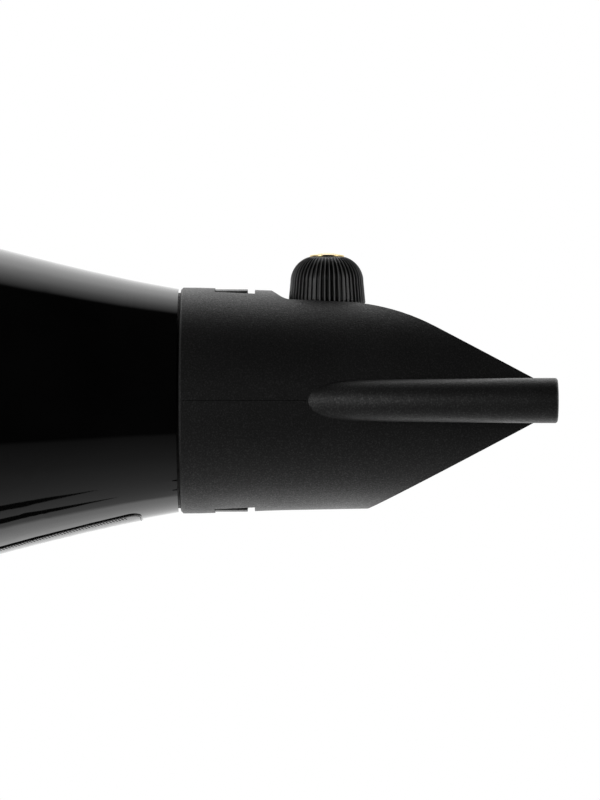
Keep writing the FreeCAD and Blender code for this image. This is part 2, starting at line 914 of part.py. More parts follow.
def heater_sleeve():
    body = turned(
        "heater_sleeve",
        [
            ("sleeve_rear_x", "sleeve_r - sleeve_wall"),
            ("sleeve_rear_x", "sleeve_r"),
            ("sleeve_rear_x + sleeve_length", "sleeve_r"),
            ("sleeve_rear_x + sleeve_length", "sleeve_r - sleeve_wall"),
        ],
    )
    keep("heater_sleeve", body, barrel_frame())


def mica_board(label, role, slot_start):
    """One board of the heater's cross, notched for the coils and half slotted for its partner."""
    body = new_body(label)
    outline = new_sketch(body, role)
    end = "mica_rear_x + mica_length"
    draw_rectangle(outline, "mica_rear_x", "-mica_half_width", end, "mica_half_width")
    pad(body, outline, "mica_thickness", both_ways=True)
    notch = new_sketch(body, role)
    low, high = "coil_first_x - notch_width / 2", "coil_first_x + notch_width / 2"
    draw_rectangle(notch, low, "notch_inner_r", high, "mica_half_width + 1")
    draw_rectangle(notch, low, "-mica_half_width - 1", high, "-notch_inner_r")
    first = pocket(body, notch, "mica_thickness + 1", both_ways=True)
    length = f"coil_pitch * {COIL_RINGS - 1}"
    repeat_along(body, first, origin_axis(body, "X_Axis"), length, COIL_RINGS)
    slot = new_sketch(body, role)
    middle = "mica_rear_x + mica_length / 2"
    low, high = (middle, f"{end} + 1") if slot_start else ("mica_rear_x - 1", middle)
    draw_rectangle(slot, low, "-mica_thickness / 2 - 0.05", high, "mica_thickness / 2 + 0.05")
    pocket(body, slot, "mica_thickness + 1", both_ways=True)
    keep(label, body, barrel_frame())


def heater_coil(label, first, last):
    """Rings of heating coil that lie in the boards' notches."""
    rings = []
    for i in range(first, last):
        ring = doc.addObject("Part::Torus", f"{label}_{i}")
        ring.Placement = FreeCAD.Placement(V(), FreeCAD.Rotation(*TURN["x"]))
        ring.setExpression("Radius1", bound("coil_ring_r"))
        ring.setExpression("Radius2", bound("coil_tube_r"))
        ring.setExpression("Placement.Base.x", bound(f"coil_first_x + coil_pitch * {i}"))
        rings.append(ring)
    keep(label, group(label, rings), barrel_frame())


def thermal_cutout():
    """A bimetal switch on the boards, which opens when the air stops."""
    start, end, clear = "cutout_x", "cutout_x + cutout_length", "board_clear"
    case = box("cutout_case", (start, clear, clear),
               (end, f"{clear} + cutout_width", f"{clear} + cutout_height"))
    side, base = f"{clear} + (cutout_width - cutout_tab_width) / 2", f"{clear} + 1"
    tabs = [
        box(f"cutout_tab_{i}", (low, side, base),
            (high, f"{side} + cutout_tab_width", f"{base} + cutout_tab_thickness"))
        for i, (low, high) in enumerate(((f"{start} - cutout_tab_reach", f"{start} + 0.5"),
                                         (f"{end} - 0.5", f"{end} + cutout_tab_reach")))
    ]
    keep("thermal_cutout", fuse("thermal_cutout", [case] + tabs), barrel_frame())


def thermal_fuse():
    """A one-shot fuse with its two wire tails."""
    can = cylinder("fuse_can", "x", ("fuse_x", "fuse_y", "fuse_z"), "fuse_r", "fuse_length")
    tails = cylinder("fuse_tails", "x", ("fuse_x - fuse_tail_reach", "fuse_y", "fuse_z"),
                     "fuse_tail_r", "fuse_length + 2 * fuse_tail_reach")
    keep("thermal_fuse", fuse("thermal_fuse", [can, tails]), barrel_frame())


# ---------------------------------------------------------------- motor and fan


def fan_duct():
    """The ring round the fan, the cup that holds the motor, and the vanes between them."""
    rear, length = "duct_rear_x", "duct_front_x - duct_rear_x"
    wall = tube("duct_wall_tube", "x", (rear, "0", "0"), "duct_r", "duct_r - duct_wall", length)
    cup = tube("duct_cup", "x", ("cup_rear_x", "0", "0"), "cup_r", "cup_r - cup_wall",
               "duct_front_x - cup_rear_x")
    vanes = []
    for i in range(DUCT_VANES):
        vane = doc.addObject("Part::Box", f"duct_vane_{i}")
        vane.setExpression("Length", bound("duct_front_x - cup_rear_x - 6"))
        vane.setExpression("Width", bound("duct_r - duct_wall / 2 - cup_r + 0.7"))
        vane.Height = 1.4
        corner = V(value("cup_rear_x + 2"), value("cup_r - 0.7"), -0.7)
        turn_to(vane, corner, 360.0 * i / DUCT_VANES)
        vanes.append(vane)
    keep("fan_duct", fuse("fan_duct", [wall, cup] + vanes), barrel_frame())


def stator_parts():
    """The laminated stack, slotted for two field coils."""
    start = ("stator_rear_x", "0", "0")
    stack = tube("stack", "x", start, "stator_r", "stator_bore_r", "stator_length")
    slots = []
    for i, side in enumerate((0, 180)):
        start = ("stator_rear_x - 1", "0", "0")
        slots.append(cylinder(f"stack_slot_{i}", "x", start, "field_slot_r", "stator_length + 2",
                              "field_angle + 4", side - value("field_angle / 2 + 2")))
    keep("motor_stator", cut("motor_stator", stack, fuse("stack_slots", slots)), barrel_frame())

    coils = []
    for i, side in enumerate((0, 180)):
        start = ("field_rear_x", "0", "0")
        sector = cylinder(f"coil_sector_{i}", "x", start, "field_outer_r", "field_length",
                          "field_angle", side - value("field_angle / 2"))
        core = cylinder(f"coil_core_{i}", "x", start, "field_inner_r", "field_length")
        coils.append(cut(f"field_coil_{i}", sector, core))
    keep("field_coils", group("field_coils", coils), barrel_frame())


def motor_bracket(label, face, rim_start, rim_length):
    """An end bracket: a hub for the bush, two crossed bars and a rim that meets the stack."""
    body = new_body(label)
    bar = new_sketch(body, "YZ_Plane", face)
    draw_rectangle(bar, "-bracket_rim_r - 0.5", "-bracket_bar_half",
                   "bracket_rim_r + 0.5", "bracket_bar_half")
    first = pad(body, bar, "bracket_thickness")
    repeat_round(body, first, origin_axis(body, "X_Axis"), 4)
    hub = new_sketch(body, "YZ_Plane", face)
    draw_circle(hub, "0", "0", "bracket_hub_r")
    pad(body, hub, "bracket_thickness")
    rim = new_sketch(body, "YZ_Plane", rim_start)
    draw_circle(rim, "0", "0", "stator_r")
    draw_circle(rim, "0", "0", "bracket_rim_r")
    pad(body, rim, rim_length)
    seat = new_sketch(body, "YZ_Plane", face)
    draw_circle(seat, "0", "0", "bush_r + 0.03")
    pocket(body, seat, "bracket_thickness * 3", both_ways=True)
    keep(label, body, barrel_frame())


def motor_bushes():
    for label, face in (("rear_bush", "rear_bracket_x"), ("front_bush", "front_bracket_x")):
        bush = tube(label, "x", (f"{face} + 0.2", "0", "0"), "bush_r", "bush_bore_r", "bush_length")
        keep(label, bush, barrel_frame())


def brush_gear():
    """Two carbon brushes in square brass tubes, one on each side of the commutator."""
    holders, brushes = [], []
    middle = "brush_middle_x"
    for i, side in enumerate((1, -1)):

        def block(name, half, near, far):
            low, high = (near, far) if side > 0 else (f"-({far})", f"-({near})")
            return box(f"{name}_{i}", (f"{middle} - {half}", low, f"-{half}"),
                       (f"{middle} + {half}", high, half))

        outside = block("holder_outside", "holder_half", "holder_tip_r", "holder_end_r")
        inside = block("holder_inside", "holder_bore_half", "holder_tip_r - 1", "holder_end_r + 1")
        holders.append(cut(f"holder_{i}", outside, inside))
        brushes.append(block("brush", "brush_half", "brush_tip_r", "brush_end_r"))
    keep("brush_holders", group("brush_holders", holders), barrel_frame())
    keep("carbon_brushes", group("carbon_brushes", brushes), barrel_frame())


def motor_shaft():
    body = turned(
        "motor_shaft",
        [
            ("shaft_rear_x", "0"),
            ("shaft_rear_x", "shaft_r - 0.3"),
            ("shaft_rear_x + 0.3", "shaft_r"),
            ("shaft_front_x - 0.3", "shaft_r"),
            ("shaft_front_x", "shaft_r - 0.3"),
            ("shaft_front_x", "0"),
        ],
    )
    keep("motor_shaft", body, barrel_frame())


def slotted_core(label, start, radius, length, slot_inner, slot_width):
    """A round core on the shaft with slots cut in from its rim."""
    body = new_body(label)
    disc = new_sketch(body, "YZ_Plane", start)
    draw_circle(disc, "0", "0", radius)
    draw_circle(disc, "0", "0", "shaft_r + 0.02")
    pad(body, disc, length)
    slot = new_sketch(body, "YZ_Plane", f"{start} - 1")
    draw_rectangle(slot, slot_inner, f"-({slot_width}) / 2", f"{radius} + 1", f"({slot_width}) / 2")
    first = pocket(body, slot, f"{length} + 2", reverse=True)
    repeat_round(body, first, origin_axis(body, "X_Axis"), ARMATURE_SLOTS)
    keep(label, body, barrel_frame())


def armature_windings():
    """Copper that fills the armature's slots and heaps up at both ends."""
    ends = []
    for i, start in enumerate(
        ("armature_rear_x - end_turn_length - 0.1", "armature_rear_x + armature_length + 0.1")
    ):
        ends.append(tube(f"end_turns_{i}", "x", (start, "0", "0"), "end_turn_r", "end_turn_bore_r",
                         "end_turn_length"))
    bars = []
    for i in range(ARMATURE_SLOTS):
        bar = doc.addObject("Part::Box", f"slot_bar_{i}")
        bar.setExpression("Length", bound("armature_length + 2"))
        bar.setExpression("Width", bound("armature_r - 1.4 - armature_slot_r - 0.2"))
        bar.setExpression("Height", bound("slot_fill_thickness"))
        corner = V(value("armature_rear_x - 1"), value("armature_slot_r + 0.2"),
                   value("-slot_fill_thickness / 2"))
        turn_to(bar, corner, 360.0 * i / ARMATURE_SLOTS)
        bars.append(bar)
    keep("armature_windings", fuse("armature_windings", ends + bars), barrel_frame())


def fan_blade():
    """One cambered, twisted blade standing along +Z in the barrel frame."""
    wires = []
    sections = (
        # radius, half chord along X, half chord along Y, camber, half thickness
        (dim("fan_hub_r") - 3.0, 4.6, 4.2, 1.2, 0.9),
        (24.0, 3.6, 6.4, 1.5, 0.7),
        (dim("fan_tip_r") + 1.0, 2.6, 8.0, 1.2, 0.5),
    )
    middle = (dim("fan_rear_x") + dim("fan_front_x")) / 2
    for radius, half_x, half_y, camber, half_t in sections:
        across = V(half_y, half_x, 0).normalize()
        across = V(-across.x, across.y, 0)
        nose, tail = V(-half_x, -half_y, 0), V(half_x, half_y, 0)
        corners = [
            nose + across * half_t * 0.6,
            across * (camber + half_t),
            tail + across * half_t * 0.6,
            tail - across * half_t * 0.6,
            across * (camber - half_t),
            nose - across * half_t * 0.6,
        ]
        a, b, c, d, e, f = [V(middle + p.x, p.y, radius) for p in corners]
        edges = [
            Part.Arc(a, b, c).toShape(),
            Part.LineSegment(c, d).toShape(),
            Part.Arc(d, e, f).toShape(),
            Part.LineSegment(f, a).toShape(),
        ]
        wires.append(Part.Wire(edges))
    return Part.makeLoft(wires, True)


def fan_impeller():
    """An axial fan: a spinner with a bored hub and swept blades."""
    rear, front, hub_r = dim("fan_rear_x"), dim("fan_front_x"), dim("fan_hub_r")
    bore, boss_r = dim("shaft_r") + 0.02, dim("fan_boss_r")
    outline = [
        (front, bore), (front, boss_r), (rear + 4.0, boss_r), (rear + 4.0, hub_r - 3.6),
        (front, hub_r - 1.6), (front, hub_r), (rear + 3.0, hub_r - 1.2), (rear, hub_r - 5.5),
        (rear, bore),
    ]
    wire = Part.makePolygon([V(x, 0, r) for x, r in outline + outline[:1]])
    hub = Part.Face(wire).revolve(V(), X_AXIS, 360)
    blade = fan_blade().common(solid_cylinder(dim("fan_tip_r"), (rear, 0, 0), (front, 0, 0)))
    inside = solid_cylinder(hub_r - 2.0, (rear - 1, 0, 0), (front + 1, 0, 0))
    blades = []
    for i in range(FAN_BLADES):
        turned_blade = blade.copy()
        turned_blade.rotate(V(), X_AXIS, 360.0 * i / FAN_BLADES)
        blades.append(turned_blade.cut(inside))
    keep("fan_impeller", shaped("fan_impeller", hub.fuse(blades)), barrel_frame())


def fan_nut():
    nut = doc.addObject("Part::Prism", "nut_blank")
    nut.Polygon = 6
    nut.setExpression("Circumradius", bound("nut_r"))
    nut.setExpression("Height", bound("nut_height"))
    nut.Placement = FreeCAD.Placement(V(), FreeCAD.Rotation(*TURN["x"]))
    nut.setExpression("Placement.Base.x", bound("fan_rear_x - nut_height - 0.2"))
    bore = cylinder("nut_bore", "x", ("fan_rear_x - nut_height - 1", "0", "0"), "shaft_r + 0.02",
                    "nut_height + 2")
    keep("fan_nut", cut("fan_nut", nut, bore), barrel_frame())


def air_guide():
    """The funnel that takes the fan's air from the duct into the heater's sleeve."""
    wide, narrow = "duct_r - duct_wall", "sleeve_r + 0.1"
    body = turned(
        "air_guide",
        [
            ("duct_front_x + 0.1", wide),
            ("duct_front_x + 3", wide),
            ("guide_cone_x", narrow),
            ("guide_front_x", narrow),
            ("guide_front_x", f"{narrow} + guide_wall"),
            ("guide_cone_x + 0.4", f"{narrow} + guide_wall"),
            ("duct_front_x + 3.5", f"{wide} + guide_wall"),
            ("duct_front_x + 0.1", f"{wide} + guide_wall"),
        ],
    )
    keep("air_guide", body, barrel_frame())


# ---------------------------------------------------------------- rear end


def rear_trim_ring():
    body = turned(
        "rear_trim_ring",
        [
            ("rear_x - trim_width", "trim_bore_r"),
            ("rear_x - trim_width", "trim_r - 0.9"),
            ("rear_x - trim_width + 0.5", "trim_r - 0.2"),
            ("rear_x - trim_width + 1.2", "trim_r"),
            ("rear_x - 0.1", "trim_r"),
            ("rear_x - 0.1", "spigot_r"),
            ("rear_x + spigot_length", "spigot_r"),
            ("rear_x + spigot_length", "trim_bore_r"),
        ],
    )
    keep("rear_trim_ring", body, barrel_frame())


def rear_guard():
    """The removable rear guard: a skirt, a flange and a domed face of slotted rings."""
    edge, rise, thick = dim("guard_edge_x"), dim("guard_dome_rise"), dim("guard_thickness")
    skirt_r, wall = dim("guard_r"), dim("guard_wall")
    trim_rear, trim_r = dim("rear_x") - dim("trim_width"), dim("trim_r") - 0.8

    def dome_x(radius, offset):
        sphere_r = (skirt_r**2 + rise**2) / (2 * rise)
        return edge - rise + offset + sphere_r - math.sqrt(sphere_r**2 - radius**2)

    outer = Part.Arc(V(dome_x(0, 0), 0, 0), V(dome_x(20, 0), 0, 20), V(edge, 0, skirt_r))
    inner_r = skirt_r - wall
    inner = Part.Arc(V(dome_x(inner_r, thick), 0, inner_r), V(dome_x(20, thick), 0, 20),
                     V(dome_x(0, thick), 0, 0))
    corners = [
        V(edge, 0, skirt_r),
        V(trim_rear - 2.2, 0, trim_r),
        V(trim_rear - 0.2, 0, trim_r),
        V(trim_rear - 0.2, 0, skirt_r),
        V(dim("guard_skirt_x"), 0, skirt_r),
        V(dim("guard_skirt_x"), 0, inner_r),
        V(dome_x(inner_r, thick), 0, inner_r),
    ]
    edges = [outer.toShape()]
    edges += [Part.LineSegment(a, b).toShape() for a, b in zip(corners, corners[1:])]
    edges.append(inner.toShape())
    edges.append(Part.LineSegment(V(dome_x(0, thick), 0, 0), V(dome_x(0, 0), 0, 0)).toShape())
    body = Part.Face(Part.Wire(edges)).revolve(V(), X_AXIS, 360)

    pitch = dim("guard_slot") + dim("guard_web")
    slots = []
    for i in range(GUARD_SLOT_RINGS):
        low = dim("guard_centre_r") + i * pitch
        ends = ((edge - rise - 1, 0, 0), (edge + 4, 0, 0))
        ring = solid_cylinder(low + dim("guard_slot"), *ends).cut(solid_cylinder(low, *ends))
        slots.append(ring)
    spokes = []
    half = dim("guard_spoke") / 2
    for i in range(GUARD_SPOKES // 2):
        bar = solid_box((edge - rise - 2, -40, -half), (edge + 5, 40, half))
        bar.rotate(V(), X_AXIS, 360.0 * i / GUARD_SPOKES)
        spokes.append(bar)
    slots = slots[0].fuse(slots[1:]).cut(spokes)
    keep("rear_guard", shaped("rear_guard", body.cut(slots)), barrel_frame())


def filter_mesh():
    body = new_body("filter_mesh")
    disc = new_sketch(body, "YZ_Plane", "filter_x")
    draw_circle(disc, "0", "0", "filter_r")
    pad(body, disc, "filter_thickness")
    keep("filter_mesh", body, barrel_frame())


# ---------------------------------------------------------------- controls


def switch_panel():
    """The insert that carries both rockers and the cool button, flush with the grip."""
    low, high = dim("panel_low_z"), dim("panel_high_z")
    back, half = dim("panel_back_x"), dim("panel_half_width")
    skin = handle_solid(dim("panel_recess"), rounded=False)
    skin.Placement = FreeCAD.Placement()
    plug = panel_outline(half, low, high, back, 30).common(skin)
    reach = dim("panel_flange_reach")
    flange = panel_outline(half + reach, low - reach, high + reach, back,
                           back + dim("panel_flange"))
    cavity = handle_solid(dim("handle_wall") + 0.1, rounded=False)
    cavity.Placement = FreeCAD.Placement()
    panel = plug.fuse(flange.common(cavity))
    half_y, half_z = dim("rocker_hole_width") / 2, dim("rocker_hole_half")
    cutters = []
    for z in (dim("speed_z"), dim("heat_z")):
        cutters.append(solid_box((0, -half_y, z - half_z), (30, half_y, z + half_z)))
        x, reach = dim("rocker_pivot_x"), dim("trunnion_half") + 0.15
        cutters.append(solid_cylinder(dim("trunnion_r") + 0.05, (x, -reach, z), (x, reach, z)))
    z = dim("cool_z")
    cutters.append(solid_cylinder(dim("button_r") + 0.2, (0, 0, z), (30, 0, z)))
    keep("switch_panel", shaped("switch_panel", panel.cut(cutters)), handle_frame())


def rocker(label, height):
    """A rocker with a hollow top and two trunnions, turning in the panel."""
    pivot, half = "rocker_pivot_x", "rocker_half_length"
    body = new_body(label)
    side = new_sketch(body, "XZ_Plane")
    heel, edge, hollow = "rocker_heel", "rocker_edge_rise", "rocker_middle_rise"
    draw_polygon(
        side,
        [
            (f"{pivot} - {heel}", f"{height} - 2.8"),
            (f"{pivot} + 0.5", f"{height} - {half} + 0.2"),
            (f"{pivot} + {edge}", f"{height} - {half}"),
            (f"{pivot} + {hollow} + 0.3", f"{height} - {half} / 2"),
            (f"{pivot} + {hollow}", height),
            (f"{pivot} + {hollow} + 0.3", f"{height} + {half} / 2"),
            (f"{pivot} + {edge}", f"{height} + {half}"),
            (f"{pivot} + 0.5", f"{height} + {half} - 0.2"),
            (f"{pivot} - {heel}", f"{height} + 2.8"),
        ],
    )
    pad(body, side, "rocker_width", both_ways=True)
    trunnion = new_sketch(body, "XZ_Plane")
    draw_circle(trunnion, pivot, height, "trunnion_r")
    pad(body, trunnion, "trunnion_half * 2", both_ways=True)
    keep(label, body, handle_frame())


def switch_bodies():
    """The closed blocks behind the rockers and the button, and their terminals."""
    for label, z in (("speed_switch", "speed_z"), ("heat_switch", "heat_z")):
        w, half = "switch_half_width", "switch_half_length"
        block = box(label + "_block", ("switch_back_x", f"-{w}", f"{z} - {half}"),
                    ("switch_front_x", w, f"{z} + {half}"))
        wall = "switch_wall"
        well = box(label + "_well", ("switch_well_x", f"-{w} + {wall}", f"{z} - {half} + {wall}"),
                   ("switch_front_x + 1", f"{w} - {wall}", f"{z} + {half} - {wall}"))
        keep(label, cut(label, block, well), handle_frame())
    back, front, w = "microswitch_back_x", "microswitch_front_x", "microswitch_half_width"
    block = box("cool_block", (back, f"-{w}", "cool_z - microswitch_half_length"),
                (f"{front} - 0.6", w, "cool_z + microswitch_half_length"))
    seat = cylinder("cool_seat", "x", (f"{front} - 1", "0", "cool_z"), "microswitch_seat_r", "1")
    keep("cool_switch", fuse("cool_switch", [block, seat]), handle_frame())

    places = [("switch_back_x", f"{z} + terminal_pitch * {k}")
              for z in ("speed_z", "heat_z") for k in (-1, 0, 1)]
    places += [(back, f"cool_z + microswitch_tab_pitch * {k} / 2") for k in (-1, 1)]
    half_y, half_z = "terminal_half_width", "terminal_half_thickness"
    tabs = [
        box(f"tab_{i}", (f"{face} - terminal_length", f"-{half_y}", f"{z} - {half_z}"),
            (f"{face} - 0.02", half_y, f"{z} + {half_z}"))
        for i, (face, z) in enumerate(places)
    ]
    keep("switch_terminals", group("switch_terminals", tabs), handle_frame())


def cool_button():
    """The push button: a cap, a flange that stops it in the panel, and a stem for the spring."""
    body = new_body("cool_button")
    flange = "panel_back_x - button_flange_drop"
    layers = (
        (flange, "button_flange_r", "button_flange_drop - 0.2"),
        (flange, "button_r", f"button_front_x - ({flange})"),
        ("button_stem_x", "button_stem_r", f"{flange} - button_stem_x + 0.6"),
    )
    for height, radius, length in layers:
        sketch = new_sketch(body, "YZ_Plane", height)
        draw_circle(sketch, "0", "cool_z", radius)
        pad(body, sketch, length)
    round_off(body, "1.0", circle_at("button_front_x", "button_r"))
    keep("cool_button", body, handle_frame())


def cool_spring():
    """The return spring, on the button's stem."""
    wire_r, coil_r = dim("spring_wire_r"), dim("spring_r")
    start = dim("microswitch_front_x") + wire_r + 0.05
    end = dim("panel_back_x") - dim("button_flange_drop") - wire_r - 0.05
    helix = Part.makeHelix((end - start) / dim("spring_turns"), end - start, coil_r)
    section = Part.Wire(Part.makeCircle(wire_r, V(coil_r, 0, 0), Y_AXIS))
    spring = Part.Wire(helix.Edges).makePipeShell([section], True, True)
    spring = Part.Solid(spring) if spring.ShapeType == "Shell" else spring
    spring.rotate(V(), Y_AXIS, 90)
    spring.translate(V(start, 0, dim("cool_z")))
    keep("cool_spring", shaped("cool_spring", spring), handle_frame())


# ---------------------------------------------------------------- cord entry


def cord_gland():
    """The rubber bush in the bottom of the grip that a cord passes through."""
    bottom = "handle_bottom"
    body = turned(
        "cord_gland",
        [
            ("gland_bore_r", "gland_bottom"),
            ("gland_flange_r - 1", "gland_bottom"),
            ("gland_flange_r", "gland_bottom + 1"),
            ("gland_flange_r", f"{bottom} - 0.1"),
            ("gland_neck_r", f"{bottom} - 0.1"),
            ("gland_neck_r", f"{bottom} + handle_wall + 0.1"),
            ("gland_flange_r", f"{bottom} + handle_wall + 0.1"),
            ("gland_flange_r", f"{bottom} + handle_wall + 1.9"),
            ("gland_neck_r - 0.8", f"{bottom} + handle_wall + 1.9"),
            ("gland_neck_r - 0.8", "gland_top"),
            ("gland_bore_r", "gland_top"),
        ],
        axis="V_Axis",
    )
    shift = FreeCAD.Placement(V(dim("gland_x"), 0, 0), FreeCAD.Rotation())
    keep("cord_gland", body, handle_frame().multiply(shift))


def hanging_loop():
    """A flat ring to hang the dryer by, keyed into the bottom of the grip."""
    x, z, half = "loop_x", "loop_z", "loop_thickness / 2"
    ring = tube("loop_ring", "y", (x, f"-{half}", z), "loop_r", "loop_hole_r", "loop_thickness")
    neck = box("loop_neck", (f"{x} - 1.5", "-1.95", "loop_z + loop_r - 0.8"),
               (f"{x} + 1.5", "1.95", "handle_bottom + handle_wall + 1"))
    key = box("loop_key", (f"{x} - 2.6", "-3.2", "handle_bottom + handle_wall + 0.15"),
              (f"{x} + 3.2", "3.2", "handle_bottom + handle_wall + 1.9"))
    keep("hanging_loop", fuse("hanging_loop", [ring, neck, key]), handle_frame())


def cord_clamp():
    """The bar that would pinch a cord, and its two screws."""
    z = "clamp_z"
    low_y, high_y, half = "clamp_bar_low_y", "clamp_bar_high_y", "clamp_bar_half"
    bar = box("clamp_bar", ("clamp_low_x - 2.4", low_y, f"{z} - {half}"),
              ("clamp_high_x + 2.2", high_y, f"{z} + {half}"))
    holes = [
        cylinder(f"clamp_hole_{i}", "y", (x, f"{low_y} - 1", z), "clamp_hole_r", "5")
        for i, x in enumerate(("clamp_low_x", "clamp_high_x"))
    ]
    keep("cord_clamp", cut("cord_clamp", bar, fuse("clamp_holes", holes)), handle_frame())
    screws = []
    for i, x in enumerate(("clamp_low_x", "clamp_high_x")):
        head = cylinder(f"clamp_head_{i}", "y", (x, f"{high_y} + 0.02", z), "clamp_head_r",
                        "clamp_head_height")
        shank = cylinder(f"clamp_shank_{i}", "y", (x, "clamp_screw_tip_y", z), "clamp_screw_r",
                         f"{high_y} - clamp_screw_tip_y + 0.9")
        screws.append(fuse(f"clamp_screw_{i}", [head, shank]))
    keep("clamp_screws", group("clamp_screws", screws), handle_frame())


# ---------------------------------------------------------------- nozzle


def nozzle_profile(inset=0.0):
    """The side view of the nozzle: shelf, wedge and tip, as a prism to trim the round body with."""
    slope = math.radians(dim("shelf_slope"))
    wedge = math.radians(dim("wedge_angle"))
    tip_x, tip_z = dim("wedge_tip_x"), dim("wedge_tip_z")
    shelf_x, shelf_z = dim("shelf_x"), dim("shelf_z")
    # Where the shelf's line meets the upper wedge's line.
    meet_x = (tip_z + tip_x * math.tan(wedge) - shelf_z - shelf_x * math.tan(slope)) / (
        math.tan(wedge) - math.tan(slope)
    )
    meet_z = shelf_z - (meet_x - shelf_x) * math.tan(slope)
    far = 12.0
    outline = [
        (dim("front_x") - 5, 40),
        (dim("shelf_start_x") - 3, 40),
        (dim("shelf_start_x"), dim("shelf_start_z")),
        (shelf_x, shelf_z),
        (meet_x, meet_z),
        (tip_x, tip_z),
        (tip_x + far, tip_z - far * math.tan(wedge)),
        (tip_x + far, -tip_z + far * math.tan(wedge)),
        (tip_x, -tip_z),
        (tip_x - 60, -tip_z - 60 * math.tan(wedge)),
        (dim("front_x") - 5, -tip_z - 60 * math.tan(wedge)),
    ]
    block = prism(outline, 60)

    def edge_at(x, z):
        return [
            e for e in block.Edges
            if abs(e.CenterOfMass.x - x) < 0.01 and abs(e.CenterOfMass.z - z) < 0.01
        ]

    block = block.makeFillet(dim("top_blend_r") - inset, edge_at(meet_x, meet_z))
    block = block.makeFillet(dim("shelf_blend_r") + inset, edge_at(shelf_x, shelf_z))
    return block


def slit_duct(inset=0.0, past_mouth=0.0):
    """The flat, flared duct with half-round sides. past_mouth makes it longer, as a cutter."""
    sections = list(DUCT_SECTIONS)
    if past_mouth:
        x, half_width, half_height = sections[-1]
        sections.append((x + past_mouth, half_width, half_height))
    wires = []
    for x, half_width, half_height in sections:
        side, half = half_width - half_height, half_height - inset
        top = Part.LineSegment(V(x, -side, half), V(x, side, half)).toShape()
        left = Part.Arc(V(x, side, half), V(x, side + half, 0), V(x, side, -half)).toShape()
        bottom = Part.LineSegment(V(x, side, -half), V(x, -side, -half)).toShape()
        right = Part.Arc(V(x, -side, -half), V(x, -side - half, 0), V(x, -side, half)).toShape()
        wires.append(Part.Wire([top, left, bottom, right]))
    return Part.makeLoft(wires, True)


def turned_solid(outline):
    """A solid of revolution about the barrel's axis."""
    wire = Part.makePolygon([V(x, 0, r) for x, r in outline + outline[:1]])
    return Part.Face(wire).revolve(V(), X_AXIS, 360)


def nozzle_shell():
    """One moulding: a clip collar, a round body trimmed to a wedge, and the flat outlet duct."""
    rim, end, tip = dim("front_x") + dim("nozzle_gap"), DUCT_SECTIONS[-1][0], dim("wedge_tip_x")
    window, span = dim("window_x"), dim("window_length")
    profile = Part.BSplineCurve()
    profile.interpolate([V(x, 0, r) for x, r in NOZZLE_STATIONS])
    first, last = profile.StartPoint, profile.EndPoint
    corners = [last, V(last.x, 0, 0), V(rim, 0, 0), V(rim, 0, first.z - dim("rim_chamfer")), first]
    edges = [profile.toShape()]
    edges += [Part.LineSegment(a, b).toShape() for a, b in zip(corners, corners[1:])]
    outside = Part.Face(Part.Wire(Part.__sortEdges__(edges))).revolve(V(), X_AXIS, 360)
    outside = outside.common(nozzle_profile())
    duct = slit_duct()
    mouth = [e for e in duct.Edges if e.BoundBox.XMin > end - 0.01]
    duct = duct.makeFillet(dim("slit_edge_r"), mouth)
    outside = outside.fuse(duct)

    bore_end = rim + dim("nozzle_bore_length")
    inner_r, wall = dim("nozzle_inner_r"), dim("nozzle_wall")
    chamber = turned_solid([
        (bore_end - 1, 0), (bore_end - 1, inner_r), (tip, dim("nozzle_inner_tip_r")), (tip, 0),
    ])
    drop = wall / math.cos(math.radians(dim("wedge_angle")))
    pull = drop / math.tan(math.radians(dim("wedge_angle")))
    inner_wedge = nozzle_profile(wall)
    inner_wedge.translate(V(-pull, 0, 0))
    roof = solid_box((rim, -60, -60), (end, 60, dim("top_wall_z")))
    chamber = chamber.common(inner_wedge).common(roof)
    bore = solid_cylinder(dim("nozzle_bore_r"), (rim - 1, 0, 0), (bore_end, 0, 0))
    duct_hole = slit_duct(dim("slit_wall"), past_mouth=2.0)
    shell = outside.cut([chamber, bore, duct_hole])

    # The pivot boss under the vane, and the recess and hole for the knob.
    x = dim("knob_x")
    boss_foot = -dim("nozzle_inner_r") - 0.6
    boss = solid_cylinder(dim("pivot_boss_r"), (x, 0, boss_foot), (x, 0, dim("pivot_boss_z")))
    shell = shell.fuse(boss)
    hole = solid_cylinder(dim("spindle_pin_r") + 0.05, (x, 0, dim("spindle_foot_z") - 0.5),
                          (x, 0, 0))
    recess = solid_cylinder(dim("recess_r"), (x, 0, dim("recess_z")), (x, 0, 40))
    seat = solid_cylinder(dim("bushing_r") + 0.02, (x, 0, 10), (x, 0, 40))
    cutters = [hole, recess, seat]
    # Windows and tongue pockets for the two clips.
    half, narrow, reach = (
        dim("window_half_width"), dim("tongue_pocket_half"), dim("tongue_pocket_reach"))
    for side in (1, -1):
        low, high = sorted((side * 20.0, side * 30.0))
        cutters.append(solid_box((window, -half, low), (window + span, half, high)))
        low, high = sorted((side * 20.0, side * dim("tongue_pocket_r")))
        cutters.append(solid_box((window - reach, -narrow, low), (window + 1, narrow, high)))
    keep("nozzle_shell", shaped("nozzle_shell", shell.cut(cutters)), barrel_frame())


